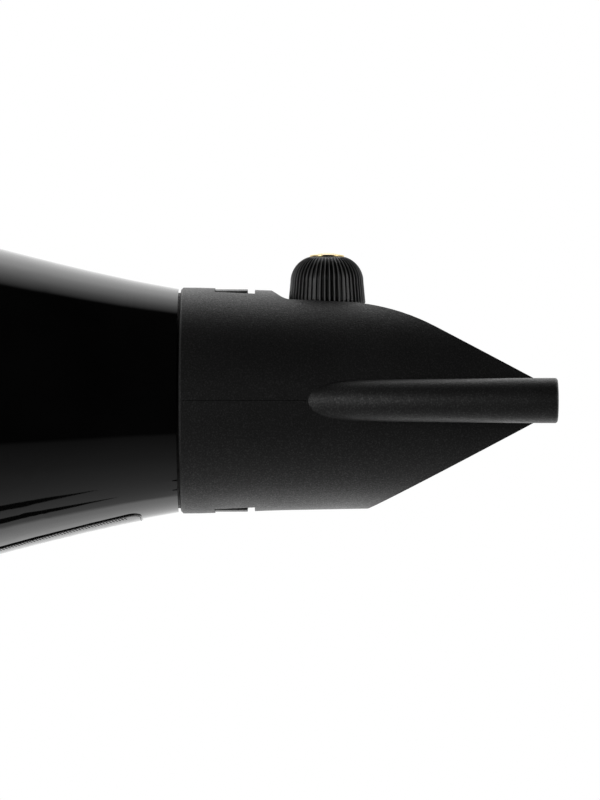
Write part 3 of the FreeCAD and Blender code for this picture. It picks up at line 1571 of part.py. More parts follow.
def nozzle_clips():
    """Two spring clips in the collar's windows: a pad flush with the nozzle, a foot, a tongue."""
    clips = []
    start, length = "window_x + 0.15", "clip_length"
    for name, side in (("top", 1), ("bottom", -1)):

        def slab(part, x0, x1, half, z0, z1):
            low, high = (z0, z1) if side > 0 else (f"-({z1})", f"-({z0})")
            return box(f"clip_{name}_{part}", (x0, f"-({half})", low), (x1, half, high))

        under = "clip_top_r - clip_pad_thickness"
        block = slab("block", start, f"window_x + {length}", "clip_pad_half",
                     "nozzle_bore_r", "clip_top_r + 1")
        wall = tube(f"clip_{name}_wall", "x", (start, "0", "0"), "clip_top_r", under, length)
        pad = common(f"clip_{name}_pad", block, wall)
        foot = slab("foot", start, f"window_x + {length} - 1.2", "clip_foot_half",
                    "nozzle_bore_r + 0.12", f"{under} + 0.1")
        tongue = slab("tongue", "window_x - tongue_pocket_reach + 0.2", "window_x + 1",
                      "clip_foot_half", "nozzle_bore_r + 0.12", "tongue_pocket_r - 0.1")
        clips.append(fuse(f"clip_{name}", [pad, foot, tongue]))
    keep("nozzle_clips", group("nozzle_clips", clips), barrel_frame())


def retaining_ring():
    """A split ring that turns freely in the collar's groove."""
    hoop = tube("ring_hoop", "x", ("groove_x + 0.15", "0", "0"), "collar_r - 0.1",
                "groove_r + 0.1", "groove_width - 0.3")
    gap = box("ring_gap", ("groove_x - 1", "-1.5", "-collar_r - 1"),
              ("groove_x + groove_width + 1", "1.5", "-groove_r + 1"))
    keep("retaining_ring", cut("retaining_ring", hoop, gap), barrel_frame())


def knob_bushing():
    """The flanged brass bushing in the nozzle's roof."""
    body = turned(
        "knob_bushing",
        [
            ("spindle_r + 0.04", "top_wall_z - 2"),
            ("bushing_r + 1.2", "top_wall_z - 2"),
            ("bushing_r + 1.2", "top_wall_z - 0.05"),
            ("bushing_r", "top_wall_z - 0.05"),
            ("bushing_r", "recess_z + 0.1"),
            ("spindle_r + 0.04", "recess_z + 0.1"),
        ],
        axis="V_Axis",
    )
    place_on_knob_axis("knob_bushing", body)


def place_on_knob_axis(label, thing):
    shift = FreeCAD.Placement(V(dim("knob_x"), 0, 0), FreeCAD.Rotation())
    keep(label, thing, barrel_frame().multiply(shift))


def adjuster_knob():
    """A domed knob: a smooth core with thin upright ribs that run up over the dome."""
    depth = dim("knob_rib_depth")
    base, top, dome = dim("knob_base_z"), dim("knob_top_z"), dim("knob_dome_r")

    def dome_solid(inset):
        wire = Part.makePolygon([
            V(0, 0, base), V(dim("knob_r") - inset, 0, base),
            V(dim("knob_top_r") - inset, 0, top - inset), V(0, 0, top - inset), V(0, 0, base),
        ])
        solid = Part.Face(wire).revolve(V(), Z_AXIS, 360)
        rim = [e for e in solid.Edges
               if isinstance(e.Curve, Part.Circle) and e.BoundBox.ZMin > top - inset - 0.01]
        return solid.makeFillet(dome - inset * 0.5, rim)

    outer, core = dome_solid(0.0), dome_solid(depth)
    half = dim("knob_rib_width") / 2
    count = int(dim("knob_rib_count"))
    plates = []
    for i in range(count // 2):
        plate = solid_box((-12, -half, base), (12, half, top + 1))
        plate.rotate(V(), Z_AXIS, 360.0 * i / count)
        plates.append(plate)
    ribs = outer.common(plates[0].fuse(plates[1:]))
    knob = core.fuse(ribs)
    # A hollow underside and a bore for the spindle.
    hollow = solid_cylinder(dim("knob_hollow_r"), (0, 0, base - 1),
                            (0, 0, top - dim("knob_roof")))
    hollow = hollow.cut(solid_cylinder(dim("knob_post_r"), (0, 0, base - 1), (0, 0, top)))
    bore = solid_cylinder(dim("spindle_r") + 0.02, (0, 0, base - 1), (0, 0, top - 2.4))
    # A counterbore for the cap's head, and a socket for its stem.
    seat = solid_cylinder(dim("cap_r") + 0.05, (0, 0, top - dim("cap_seat_depth")),
                          (0, 0, top + 1))
    socket = solid_cylinder(dim("cap_stem_r") + 0.1, (0, 0, top - 1.6), (0, 0, top))
    knob = knob.cut([hollow, bore, seat, socket])
    place_on_knob_axis("adjuster_knob", shaped("adjuster_knob", knob))


def knob_cap():
    """The polished button in the middle of the knob: a slightly domed head on a stem."""
    seat, rise = "knob_top_z - cap_seat_depth + 0.03", "(cap_top_z - cap_edge_z)"
    body = turned(
        "knob_cap",
        [
            ("0", "knob_top_z - 1.5"),
            ("cap_stem_r", "knob_top_z - 1.5"),
            ("cap_stem_r", seat),
            ("cap_r", seat),
            ("cap_r", "cap_edge_z"),
            ("0.75 * cap_r", f"cap_edge_z + 0.44 * {rise}"),
            ("0.5 * cap_r", f"cap_edge_z + 0.75 * {rise}"),
            ("0.25 * cap_r", f"cap_edge_z + 0.94 * {rise}"),
            ("0", "cap_top_z"),
        ],
        axis="V_Axis",
    )
    place_on_knob_axis("knob_cap", body)


def knob_spindle():
    body = turned(
        "knob_spindle",
        [
            ("0", "spindle_foot_z"),
            ("spindle_pin_r", "spindle_foot_z"),
            ("spindle_pin_r", "pivot_boss_z + 0.3"),
            ("spindle_r", "pivot_boss_z + 0.3"),
            ("spindle_r", "clip_groove_z"),
            ("clip_groove_r", "clip_groove_z"),
            ("clip_groove_r", "clip_groove_z + clip_groove_width"),
            ("spindle_r", "clip_groove_z + clip_groove_width"),
            ("spindle_r", "knob_top_z - 2.5"),
            ("0", "knob_top_z - 2.5"),
        ],
        axis="V_Axis",
    )
    place_on_knob_axis("knob_spindle", body)


def spindle_clip():
    """A spring clip in the spindle's groove, which keeps the knob from lifting out."""
    start = ("0", "0", "clip_groove_z + 0.1")
    ring = tube("clip_ring", "z", start, "spindle_clip_r", "clip_groove_r + 0.03",
                "clip_groove_width - 0.2")
    mouth = box("clip_mouth", ("0", "-1.4", "clip_groove_z"), ("5", "1.4", "clip_groove_z + 1"))
    place_on_knob_axis("spindle_clip", cut("spindle_clip", ring, mouth))


def flow_vane():
    """The vane that the spindle turns in the air stream, with a sleeve round the spindle."""
    half, long = "vane_thickness / 2", "vane_half_length"
    low, high = "vane_bottom_z", "vane_top_z"
    plate = box("vane_plate", (f"-{long}", f"-{half}", low), (long, half, high))
    sleeve = cylinder("vane_sleeve", "z", ("0", "0", low), "vane_sleeve_r",
                      "vane_top_z - vane_bottom_z")
    bore = cylinder("vane_bore", "z", ("0", "0", f"{low} - 1"), "spindle_r + 0.02",
                    "vane_top_z - vane_bottom_z + 2")
    vane = cut("flow_vane", fuse("vane_blank", [plate, sleeve]), bore)
    place_on_knob_axis("flow_vane", vane)


BUILDERS = (
    (casing_halves,),
    (casing_screws,),
    (rating_plate,),
    (outlet_ring,),
    (outlet_grille,),
    (heater_sleeve,),
    (mica_board, "mica_board_flat", "XY_Plane", True),
    (mica_board, "mica_board_upright", "XZ_Plane", False),
    (heater_coil, "heater_coil_rear", 0, COIL_RINGS // 2),
    (heater_coil, "heater_coil_front", COIL_RINGS // 2, COIL_RINGS),
    (thermal_cutout,),
    (thermal_fuse,),
    (fan_duct,),
    (stator_parts,),
    (motor_bracket, "motor_bracket_rear", "rear_bracket_x", "rear_bracket_x",
     "stator_rear_x - rear_bracket_x - 0.1"),
    (motor_bracket, "motor_bracket_front", "front_bracket_x",
     "stator_rear_x + stator_length + 0.1",
     "front_bracket_x + bracket_thickness - stator_rear_x - stator_length - 0.1"),
    (motor_bushes,),
    (brush_gear,),
    (motor_shaft,),
    (slotted_core, "armature_core", "armature_rear_x", "armature_r", "armature_length",
     "armature_slot_r", "armature_slot_width"),
    (armature_windings,),
    (slotted_core, "commutator", "commutator_x", "commutator_r", "commutator_length",
     "commutator_slot_r", "commutator_slot_width"),
    (fan_impeller,),
    (fan_nut,),
    (air_guide,),
    (rear_trim_ring,),
    (rear_guard,),
    (filter_mesh,),
    (switch_panel,),
    (rocker, "speed_rocker", "speed_z"),
    (rocker, "heat_rocker", "heat_z"),
    (switch_bodies,),
    (cool_button,),
    (cool_spring,),
    (cord_gland,),
    (hanging_loop,),
    (cord_clamp,),
    (nozzle_shell,),
    (nozzle_clips,),
    (retaining_ring,),
    (knob_bushing,),
    (adjuster_knob,),
    (knob_cap,),
    (knob_spindle,),
    (spindle_clip,),
    (flow_vane,),
)

for builder, *arguments in BUILDERS:
    builder(*arguments)
doc.recompute()

for thing in doc.Objects:
    if "Invalid" in thing.State or "Error" in thing.State:
        raise RuntimeError(f"{thing.Name} failed: {thing.State}")

os.makedirs("parts", exist_ok=True)
for node in nodes:
    shape = node.Shape
    if shape.isNull() or not shape.isValid() or not shape.Solids:
        raise RuntimeError(f"{node.Label} has no valid solid")
    shape.exportStep(os.path.join("parts", node.Label + ".step"))
    print(node.Label, len(shape.Solids), round(shape.Volume, 1))
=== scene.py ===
import json
import math

import bpy
import numpy as np
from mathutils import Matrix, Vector
from mathutils.bvhtree import BVHTree


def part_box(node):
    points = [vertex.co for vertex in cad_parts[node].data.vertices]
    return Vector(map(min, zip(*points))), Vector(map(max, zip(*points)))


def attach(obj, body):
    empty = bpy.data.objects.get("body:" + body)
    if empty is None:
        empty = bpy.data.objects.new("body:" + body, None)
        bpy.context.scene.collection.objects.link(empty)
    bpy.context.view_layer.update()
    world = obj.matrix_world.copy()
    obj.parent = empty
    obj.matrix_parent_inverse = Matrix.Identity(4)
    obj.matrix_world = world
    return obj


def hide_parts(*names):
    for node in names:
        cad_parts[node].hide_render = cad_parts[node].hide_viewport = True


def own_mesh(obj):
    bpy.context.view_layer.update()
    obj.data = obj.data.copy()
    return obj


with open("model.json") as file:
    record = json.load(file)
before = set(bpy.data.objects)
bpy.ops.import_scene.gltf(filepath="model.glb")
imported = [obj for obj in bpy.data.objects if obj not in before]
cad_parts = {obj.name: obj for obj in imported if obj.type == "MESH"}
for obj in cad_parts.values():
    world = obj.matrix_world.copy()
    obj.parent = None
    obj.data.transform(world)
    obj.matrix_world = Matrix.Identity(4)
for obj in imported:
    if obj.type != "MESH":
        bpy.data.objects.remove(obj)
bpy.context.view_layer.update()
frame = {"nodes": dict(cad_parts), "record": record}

# The looks of a hair dryer, built round its CAD frame, in the frame's own axes: +X the way the
# air blows, +Z up. The barrel's axis runs along X at AXIS_Z. Lengths are in metres, or in mm
# where they are multiplied by MM later.

MM = 0.001
NODES = frame["nodes"]
SLOT_OF = {part["node"]: part["material_slot"] for part in frame["record"]["subparts"]}


def middle(node):
    low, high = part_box(node)
    return (low + high) / 2


AXIS_Z = middle("outlet_ring").z
KNOB_X = middle("adjuster_knob").x
FLOOR_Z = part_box("hanging_loop")[0].z - 0.5 * MM
HANDLE_TILT = math.radians(5)

# ---------------------------------------------------------------- node helpers


class Material:
    """A material's node tree round one Principled shader, with short calls for common nodes."""

    def __init__(self, name, **constants):
        self.material = bpy.data.materials.new(name)
        self.material.use_nodes = True
        self.tree = self.material.node_tree
        self.shader = self.tree.nodes["Principled BSDF"]
        self.place = self.add("ShaderNodeTexCoord").outputs["Object"]
        for socket, number in constants.items():
            self.shader.inputs[socket.replace("_", " ")].default_value = number

    def add(self, kind, **settings):
        node = self.tree.nodes.new(kind)
        for key, setting in settings.items():
            setattr(node, key, setting)
        return node

    def join(self, source, target):
        self.tree.links.new(source, target)

    def noise(self, size, detail=2.0, roughness=0.5, stretch=(1, 1, 1)):
        """Noise whose grains are about size metres across, longer where stretch is above 1."""
        mapping = self.add("ShaderNodeMapping")
        mapping.inputs["Scale"].default_value = [1 / (size * s) for s in stretch]
        self.join(self.place, mapping.inputs["Vector"])
        texture = self.add("ShaderNodeTexNoise")
        texture.inputs["Scale"].default_value = 1.0
        texture.inputs["Detail"].default_value = detail
        texture.inputs["Roughness"].default_value = roughness
        self.join(mapping.outputs["Vector"], texture.inputs["Vector"])
        return texture.outputs["Fac"]

    def cells(self, size):
        """Cells about size metres across: the distance from each cell's middle."""
        texture = self.add("ShaderNodeTexVoronoi", feature="F1")
        texture.inputs["Scale"].default_value = 1 / size
        self.join(self.place, texture.inputs["Vector"])
        return texture.outputs["Distance"]

    def bands(self, pitch, direction="X", distortion=0.0):
        """Straight bands, one every pitch metres."""
        texture = self.add("ShaderNodeTexWave", bands_direction=direction)
        texture.inputs["Scale"].default_value = math.pi / (10 * pitch)
        texture.inputs["Distortion"].default_value = distortion
        self.join(self.place, texture.inputs["Vector"])
        return texture.outputs["Fac"]

    def between(self, factor, low, high, from_low=0.3, from_high=0.7):
        """A number that goes from low to high as the factor goes over its usual range."""
        node = self.add("ShaderNodeMapRange")
        for socket, number in (
            ("From Min", from_low), ("From Max", from_high), ("To Min", low), ("To Max", high),
        ):
            node.inputs[socket].default_value = number
        self.join(factor, node.inputs["Value"])
        return node.outputs["Result"]

    def colours(self, factor, *stops):
        """A colour ramp: stops are (place, (r, g, b))."""
        node = self.add("ShaderNodeValToRGB")
        ramp = node.color_ramp
        while len(ramp.elements) < len(stops):
            ramp.elements.new(0.5)
        for element, (place, colour) in zip(ramp.elements, stops):
            element.position = place
            element.color = (*colour, 1)
        self.join(factor, node.inputs["Fac"])
        return node.outputs["Color"]

    def mix(self, factor, a, b):
        node = self.add("ShaderNodeMix", data_type="RGBA")
        self.join(factor, node.inputs["Factor"])
        self.join(a, node.inputs["A"])
        self.join(b, node.inputs["B"])
        return node.outputs["Result"]

    def maths(self, operation, a, b):
        node = self.add("ShaderNodeMath", operation=operation)
        for socket, term in zip(node.inputs, (a, b)):
            if isinstance(term, (int, float)):
                socket.default_value = term
            else:
                self.join(term, socket)
        return node.outputs["Value"]

    def bump(self, height, depth, strength=1.0):
        """Adds a bump of that depth in metres on top of those already there."""
        node = self.add("ShaderNodeBump")
        node.inputs["Strength"].default_value = strength
        node.inputs["Distance"].default_value = depth
        self.join(height, node.inputs["Height"])
        normal = self.shader.inputs["Normal"]
        if normal.is_linked:
            self.join(normal.links[0].from_socket, node.inputs["Normal"])
        self.join(node.outputs["Normal"], normal)

    def set(self, socket, value):
        self.join(value, self.shader.inputs[socket])


def grey(level):
    return (level, level, level)


# ---------------------------------------------------------------- materials


def gloss_plastic():
    """Piano-black casing: a deep mirror with the faintest haze, dust and polishing marks."""
    m = Material("gloss_black_plastic", IOR=1.5)
    haze = m.noise(22 * MM, detail=3)
    m.set("Base Color", m.colours(haze, (0.3, grey(0.0025)), (0.7, grey(0.0045))))
    smear = m.noise(6 * MM, detail=4, stretch=(3, 1, 1))
    dust = m.between(m.noise(0.35 * MM, detail=1), 0.0, 0.05, 0.68, 0.78)
    m.set("Roughness", m.maths("ADD", m.between(smear, 0.035, 0.06), dust))
    m.bump(m.noise(9 * MM, detail=1), 0.012 * MM, 0.25)
    m.bump(m.noise(0.9 * MM, detail=2), 0.0006 * MM, 0.5)
    return m.material


def spark_plastic(name, level, rough, grain=0.42 * MM, depth=0.045 * MM):
    """Matt moulding from a spark-eroded tool: an even fine grain with shinier peaks."""
    m = Material(name, IOR=1.5)
    fine = m.noise(grain, detail=3, roughness=0.6)
    coarse = m.noise(grain * 3.1, detail=2)
    m.set("Base Color", m.colours(fine, (0.32, grey(level * 0.65)), (0.68, grey(level * 1.5))))
    worn = m.between(m.noise(15 * MM, detail=3), -0.035, 0.035)
    m.set("Roughness", m.maths("ADD", m.between(fine, rough + 0.09, rough - 0.07), worn))
    m.bump(coarse, depth * 0.9, 0.35)
    m.bump(fine, depth, 0.7)
    # Glints on the grain's highest points.
    peaks = m.between(m.noise(grain * 0.8, detail=1), 0.42, 0.85, 0.5, 0.7)
    m.set("Specular IOR Level", peaks)
    return m.material


def satin_plastic(name, colour, rough=0.36):
    """Smooth satin moulding with faint flow marks and handling shine."""
    m = Material(name, IOR=1.48)
    flow = m.noise(5 * MM, detail=4, stretch=(1, 1, 3))
    dark, light = [c * 0.85 for c in colour], [c * 1.15 for c in colour]
    m.set("Base Color", m.colours(flow, (0.3, dark), (0.7, light)))
    m.set("Roughness", m.between(m.noise(2.2 * MM, detail=3), rough + 0.07, rough - 0.07))
    m.bump(m.noise(0.22 * MM, detail=2), 0.008 * MM, 0.5)
    return m.material


def knob_plastic():
    """The knob: satin black grooves, and crests painted a lighter grey as a painted highlight."""
    m = Material("knob_satin_black", IOR=1.5)
    knob_tone = m.noise(3 * MM, detail=3)
    groove = m.colours(knob_tone, (0.3, grey(0.004)), (0.7, grey(0.008)))
    # The crests' lighter grey, picked out by the surface's pointiness, is a painted highlight along
    # each rib.
    crest = m.colours(knob_tone, (0.3, grey(0.13)), (0.7, grey(0.18)))
    height = m.add("ShaderNodeNewGeometry").outputs["Pointiness"]
    m.set("Base Color", m.mix(m.between(height, 0, 1, 0.49, 0.53), groove, crest))
    m.set("Roughness", m.between(m.noise(0.7 * MM, detail=3, stretch=(1, 1, 5)), 0.4, 0.28))
    m.bump(m.noise(0.16 * MM, detail=2), 0.006 * MM, 0.5)
    return m.material


def polished_gold():
    m = Material("polished_gold", Metallic=1.0)
    tone = m.noise(4 * MM, detail=2)
    m.set("Base Color", m.colours(tone, (0.3, (0.68, 0.53, 0.26)), (0.7, (0.74, 0.60, 0.33))))
    m.set("Roughness", m.between(m.noise(0.5 * MM, detail=4, stretch=(1, 6, 6)), 0.18, 0.32))
    m.bump(m.noise(0.3 * MM, detail=3, stretch=(1, 8, 8)), 0.001 * MM, 0.4)
    return m.material


def heat_plastic():
    """Heat-proof moulding filled with short glass fibres."""
    m = Material("heat_proof_plastic", IOR=1.5)
    fibres = m.noise(0.3 * MM, detail=3, stretch=(7, 1, 1))
    resin, glass = (0.016, 0.015, 0.014), (0.05, 0.047, 0.043)
    m.set("Base Color", m.colours(fibres, (0.35, resin), (0.72, glass)))
    m.set("Roughness", m.between(m.noise(1.4 * MM, detail=3), 0.48, 0.66))
    m.bump(fibres, 0.012 * MM, 0.5)
    return m.material


def brushed_metal(name, colour, rough):
    m = Material(name, Metallic=1.0)
    lines = m.noise(0.35 * MM, detail=4, stretch=(1, 6, 6))
    stain = m.noise(7 * MM, detail=3)
    dark, light = [c * 0.82 for c in colour], [min(1, c * 1.1) for c in colour]
    m.set("Base Color", m.colours(stain, (0.3, dark), (0.7, light)))
    m.set("Roughness", m.between(lines, rough - 0.08, rough + 0.12))
    m.bump(lines, 0.006 * MM, 0.6)
    return m.material


def laminate():
    """Stacked sheet-steel laminations, seen as fine rings along the motor."""
    m = Material("laminated_steel", Metallic=0.9)
    sheets = m.bands(0.5 * MM, "X", distortion=0.2)
    m.set("Base Color", m.colours(sheets, (0.1, (0.12, 0.12, 0.13)), (0.6, (0.42, 0.42, 0.44))))
    m.set("Roughness", m.between(m.noise(1.2 * MM, detail=3), 0.35, 0.55))
    m.bump(sheets, 0.08 * MM, 0.7)
    return m.material


def copper_winding():
    """Enamelled copper wire, laid side by side."""
    m = Material("enamelled_copper", Metallic=0.85)
    wires = m.bands(0.42 * MM, "X", distortion=1.2)
    m.set("Base Color", m.colours(wires, (0.1, (0.16, 0.045, 0.018)), (0.7, (0.75, 0.30, 0.13))))
    m.set("Roughness", m.between(m.noise(0.8 * MM, detail=2), 0.22, 0.38))
    m.bump(wires, 0.16 * MM, 0.8)
    return m.material


def mica(name, colour):
    """Mica sheet: pale flakes that glint, in a dull binder."""
    m = Material(name, IOR=1.56)
    flakes = m.cells(1.1 * MM)
    cloud = m.noise(4 * MM, detail=4)
    light = [min(1, c * 1.2) for c in colour]
    spots = m.colours(flakes, (0.15, light), (0.7, colour))
    stains = m.colours(cloud, (0.35, [c * 0.6 for c in colour]), (0.65, colour))
    m.set("Base Color", m.mix(m.between(cloud, 0.2, 0.8), stains, spots))
    m.set("Roughness", m.between(flakes, 0.25, 0.65, 0.1, 0.7))
    m.bump(flakes, 0.03 * MM, 0.4)
    return m.material


def resistance_wire():
    """Resistance wire, blued and browned by heat."""
    m = Material("resistance_wire", Metallic=1.0)
    heat = m.noise(6 * MM, detail=2)
    m.set("Base Color", m.colours(heat, (0.35, (0.30, 0.27, 0.26)), (0.5, (0.42, 0.36, 0.30)),
                                  (0.66, (0.24, 0.25, 0.32))))
    m.set("Roughness", m.between(m.noise(0.3 * MM, detail=2), 0.3, 0.45))
    m.bump(m.noise(0.2 * MM), 0.004 * MM, 0.5)
    return m.material


def soft_rubber():
    m = Material("soft_rubber", IOR=1.52)
    bloom = m.noise(3 * MM, detail=4)
    m.set("Base Color", m.colours(bloom, (0.3, grey(0.014)), (0.75, grey(0.032))))
    m.set("Roughness", m.between(m.noise(0.8 * MM, detail=2), 0.62, 0.82))
    m.bump(m.noise(0.3 * MM, detail=2), 0.015 * MM, 0.5)
    return m.material


def pressed_carbon():
    m = Material("pressed_carbon", IOR=1.9)
    grain = m.noise(0.15 * MM, detail=3)
    m.set("Base Color", m.colours(grain, (0.3, grey(0.02)), (0.75, grey(0.07))))
    m.set("Roughness", m.between(grain, 0.35, 0.6))
    m.bump(grain, 0.01 * MM, 0.5)
    return m.material


def label_foil():
    """The rating plate: a dark satin foil with a fine brushed grain."""
    m = Material("blank_label", IOR=1.5)
    grain = m.noise(0.25 * MM, detail=3, stretch=(10, 1, 1))
    m.set("Base Color", m.colours(grain, (0.3, grey(0.010)), (0.7, grey(0.022))))
    m.set("Roughness", m.between(m.noise(2 * MM, detail=3), 0.12, 0.2))
    m.bump(grain, 0.003 * MM, 0.4)
    return m.material


def printed_ink():
    """A dull black, a little uneven, for the finest lines."""
    m = Material("printed_ink")
    m.set("Base Color", m.colours(m.noise(0.5 * MM), (0.3, grey(0.002)), (0.7, grey(0.006))))
    m.set("Roughness", m.between(m.noise(0.3 * MM), 0.7, 0.9))
    m.shader.inputs["Specular IOR Level"].default_value = 0.05
    m.bump(m.noise(0.1 * MM), 0.01 * MM, 0.5)
    return m.material


FINISHES = {
    "gloss_black": gloss_plastic(),
    "matt_black": spark_plastic("spark_black_plastic", 0.011, 0.45, depth=0.09 * MM),
    "knob_black": knob_plastic(),
    "gold": polished_gold(),
    "black_panel": spark_plastic("panel_black_plastic", 0.018, 0.46, 0.3 * MM, 0.02 * MM),
    "grey_switch": satin_plastic("switch_grey_plastic", (0.085, 0.085, 0.09)),
    "plate": label_foil(),
    "white_plastic": satin_plastic("ivory_plastic", (0.66, 0.64, 0.58), 0.45),
    "heat_plastic": heat_plastic(),
    "steel": brushed_metal("machined_steel", (0.62, 0.62, 0.61), 0.28),
    "dark_steel": brushed_metal("blackened_steel", (0.13, 0.13, 0.135), 0.4),
    "laminate": laminate(),
    "copper": copper_winding(),
    "brass_metal": brushed_metal("turned_brass", (0.80, 0.60, 0.28), 0.26),
    "mica": mica("mica_sheet", (0.50, 0.44, 0.31)),
    "nichrome": resistance_wire(),
    "sleeve_mica": mica("mica_paper", (0.56, 0.50, 0.37)),
    "carbon": pressed_carbon(),
    "rubber_black": soft_rubber(),
}
INK = printed_ink()


def dress_frame():
    """Gives every CAD node the finish of its slot."""
    for name, node in NODES.items():
        node.data.materials.clear()
        node.data.materials.append(FINISHES[SLOT_OF[name]])


# ---------------------------------------------------------------- mesh helpers


def mesh_piece(name, points, faces, slot, body, replaces=(), smooth=True, finish=None):
    """A new visible piece. Its finish is its slot's own, unless another is given."""
    mesh = bpy.data.meshes.new(name)
    mesh.from_pydata([tuple(p) for p in points], [], [tuple(f) for f in faces])
    mesh.update()
    mesh.materials.append(finish or FINISHES[slot])
    mesh.polygons.foreach_set("use_smooth", [smooth] * len(mesh.polygons))
    piece = bpy.data.objects.new(name, mesh)
    bpy.context.scene.collection.objects.link(piece)
    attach(piece, body)
    if replaces:
        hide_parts(*replaces)
    return piece


def grid_faces(rows, columns, closed_rows=False, closed_columns=True):
    """Quads over a grid of points stored row by row."""
    faces = []
    for i in range(rows if closed_rows else rows - 1):
        for j in range(columns if closed_columns else columns - 1):
            a, b = i * columns + j, i * columns + (j + 1) % columns
            c, d = ((i + 1) % rows) * columns + (j + 1) % columns, ((i + 1) % rows) * columns + j
            faces.append((a, b, c, d))
    return faces


def lathe(rows, columns, axis, centre, ripple=None):
    """Points of a surface turned about X or Z through centre. Rows are (radius, height), in mm.

    ripple(angle, radius, height) may return the radius and height to use at that angle."""
    points = []
    for radius, height in rows:
        for j in range(columns):
            angle = 2 * math.pi * j / columns
            r, h = ripple(angle, radius, height) if ripple else (radius, height)
            across, up = r * math.cos(angle) * MM, r * math.sin(angle) * MM
            offset = (across, up, h * MM) if axis == "Z" else (h * MM, across, up)
            points.append(Vector(centre) + Vector(offset))
    return points


def sweep(path, radius, sides=6, closed=False):
    """Points and faces of a round wire along a path, an array of points in metres."""
    path = np.asarray(path)
    if closed:
        ahead, behind = np.roll(path, -1, 0), np.roll(path, 1, 0)
    else:
        ahead = np.vstack([path[1:], path[-1:]])
        behind = np.vstack([path[:1], path[:-1]])
    along = ahead - behind
    along /= np.linalg.norm(along, axis=1)[:, None]
    # A fixed reference direction, the one that the path runs along least.
    reference = np.eye(3)[np.argmin(np.abs(along).max(0))]
    first = np.cross(along, reference)
    first /= np.linalg.norm(first, axis=1)[:, None]
    second = np.cross(along, first)
    angles = 2 * np.pi * np.arange(sides) / sides
    ring = first[:, None] * np.cos(angles)[:, None] + second[:, None] * np.sin(angles)[:, None]
    points = (path[:, None] + radius * ring).reshape(-1, 3)
    return points, grid_faces(len(path), sides, closed_rows=closed)


def join_meshes(parts):
    """One list of points and one of faces from several."""
    points, faces, start = [], [], 0
    for some_points, some_faces in parts:
        points += [tuple(p) for p in some_points]
        faces += [tuple(i + start for i in face) for face in some_faces]
        start += len(some_points)
    return points, faces


def in_handle(x, y, z):
    """A point given in mm in the handle's own frame, in metres in the dryer's frame."""
    c, s = math.cos(HANDLE_TILT), math.sin(HANDLE_TILT)
    return Vector((x * c - z * s, y, x * s + z * c)) * MM


def surface_of(node):
    """A CAD node's surface, for finding points on it with rays."""
    mesh = NODES[node].data
    return BVHTree.FromPolygons(
        [v.co for v in mesh.vertices], [tuple(p.vertices) for p in mesh.polygons]
    )


# ---------------------------------------------------------------- rebuilt pieces


def ribbed_knob():
    """The knob with 48 thin rounded ribs that run up over the dome and die out under the cap."""
    ribs, per_rib, depth = 48, 12, 0.6
    side_r, shoulder_r, dome_r = 8.9, 8.45, 6.0
    base, top, foot = 22.4, 33.4, 0.3
    bore_r, recess_r, recess_z, recess_rim_r = 2.2, 4.05, 33.05, 4.1
    shoulder = top - dome_r
    rows = [(bore_r, base), (8.5, base), (side_r - 0.1, base + 0.08), (side_r, base + foot)]
    side_rows, dome_rows = 8, 24
    for i in range(1, side_rows + 1):
        share = i / side_rows
        rows.append((side_r + (shoulder_r - side_r) * share,
                     base + foot + (shoulder - base - foot) * share))
    for i in range(1, dome_rows + 1):
        turn = math.pi / 2 * i / dome_rows
        rows.append((shoulder_r - dome_r + dome_r * math.cos(turn),
                     shoulder + dome_r * math.sin(turn)))
    # The counterbore that the cap's head sits in.
    rows = [row for row in rows if row[0] > recess_rim_r or row[1] < base + 0.1]
    rows += [(recess_r, recess_z + 0.1), (recess_r, recess_z), (bore_r, recess_z)]
    crest, slope, fade_length = 0.1, 0.26, 3.0

    def ripple(angle, radius, height):
        phase = angle * ribs / (2 * math.pi) % 1
        from_rib = abs(phase - 0.5) * 2
        share = min(1, max(0, (from_rib - crest) / slope))
        groove = share * share * (3 - 2 * share)
        inward = max(0, height - shoulder) / dome_r
        fade = min(1, max(0, (radius - recess_rim_r) / fade_length))
        if height < base + 0.2:
            fade *= max(0, (height - base) / foot)
        cut = depth * groove * fade
        return radius - cut * math.sqrt(1 - min(1, inward) ** 2), height - cut * inward

    columns = ribs * per_rib
    points = lathe(rows, columns, "Z", (KNOB_X, 0, AXIS_Z), ripple)
    faces = grid_faces(len(rows), columns)
    mesh_piece("ribbed_knob", points, faces, "knob_black", "knob", ["adjuster_knob"])


def gold_cap():
    """The polished cap: a low flange and a slightly domed top."""
    edge_r, foot_z, edge_z, top_z = 4.0, 33.1, 33.5, 34.1
    rows = [(0.02, foot_z), (edge_r - 0.04, foot_z), (edge_r, foot_z + 0.04),
            (edge_r, edge_z - 0.05)]
    dome_r = (edge_r**2 + (top_z - edge_z) ** 2) / (2 * (top_z - edge_z))
    dome_rows = 12
    for i in range(dome_rows + 1):
        radius = (edge_r - 0.03) * (1 - i / dome_rows) + 0.02
        rows.append((radius, top_z - dome_r + math.sqrt(dome_r**2 - radius**2)))
    columns = 96
    points = lathe(rows, columns, "Z", (KNOB_X, 0, AXIS_Z))
    faces = grid_faces(len(rows), columns)
    mesh_piece("gold_cap", points, faces, "gold", "knob", ["knob_cap"])


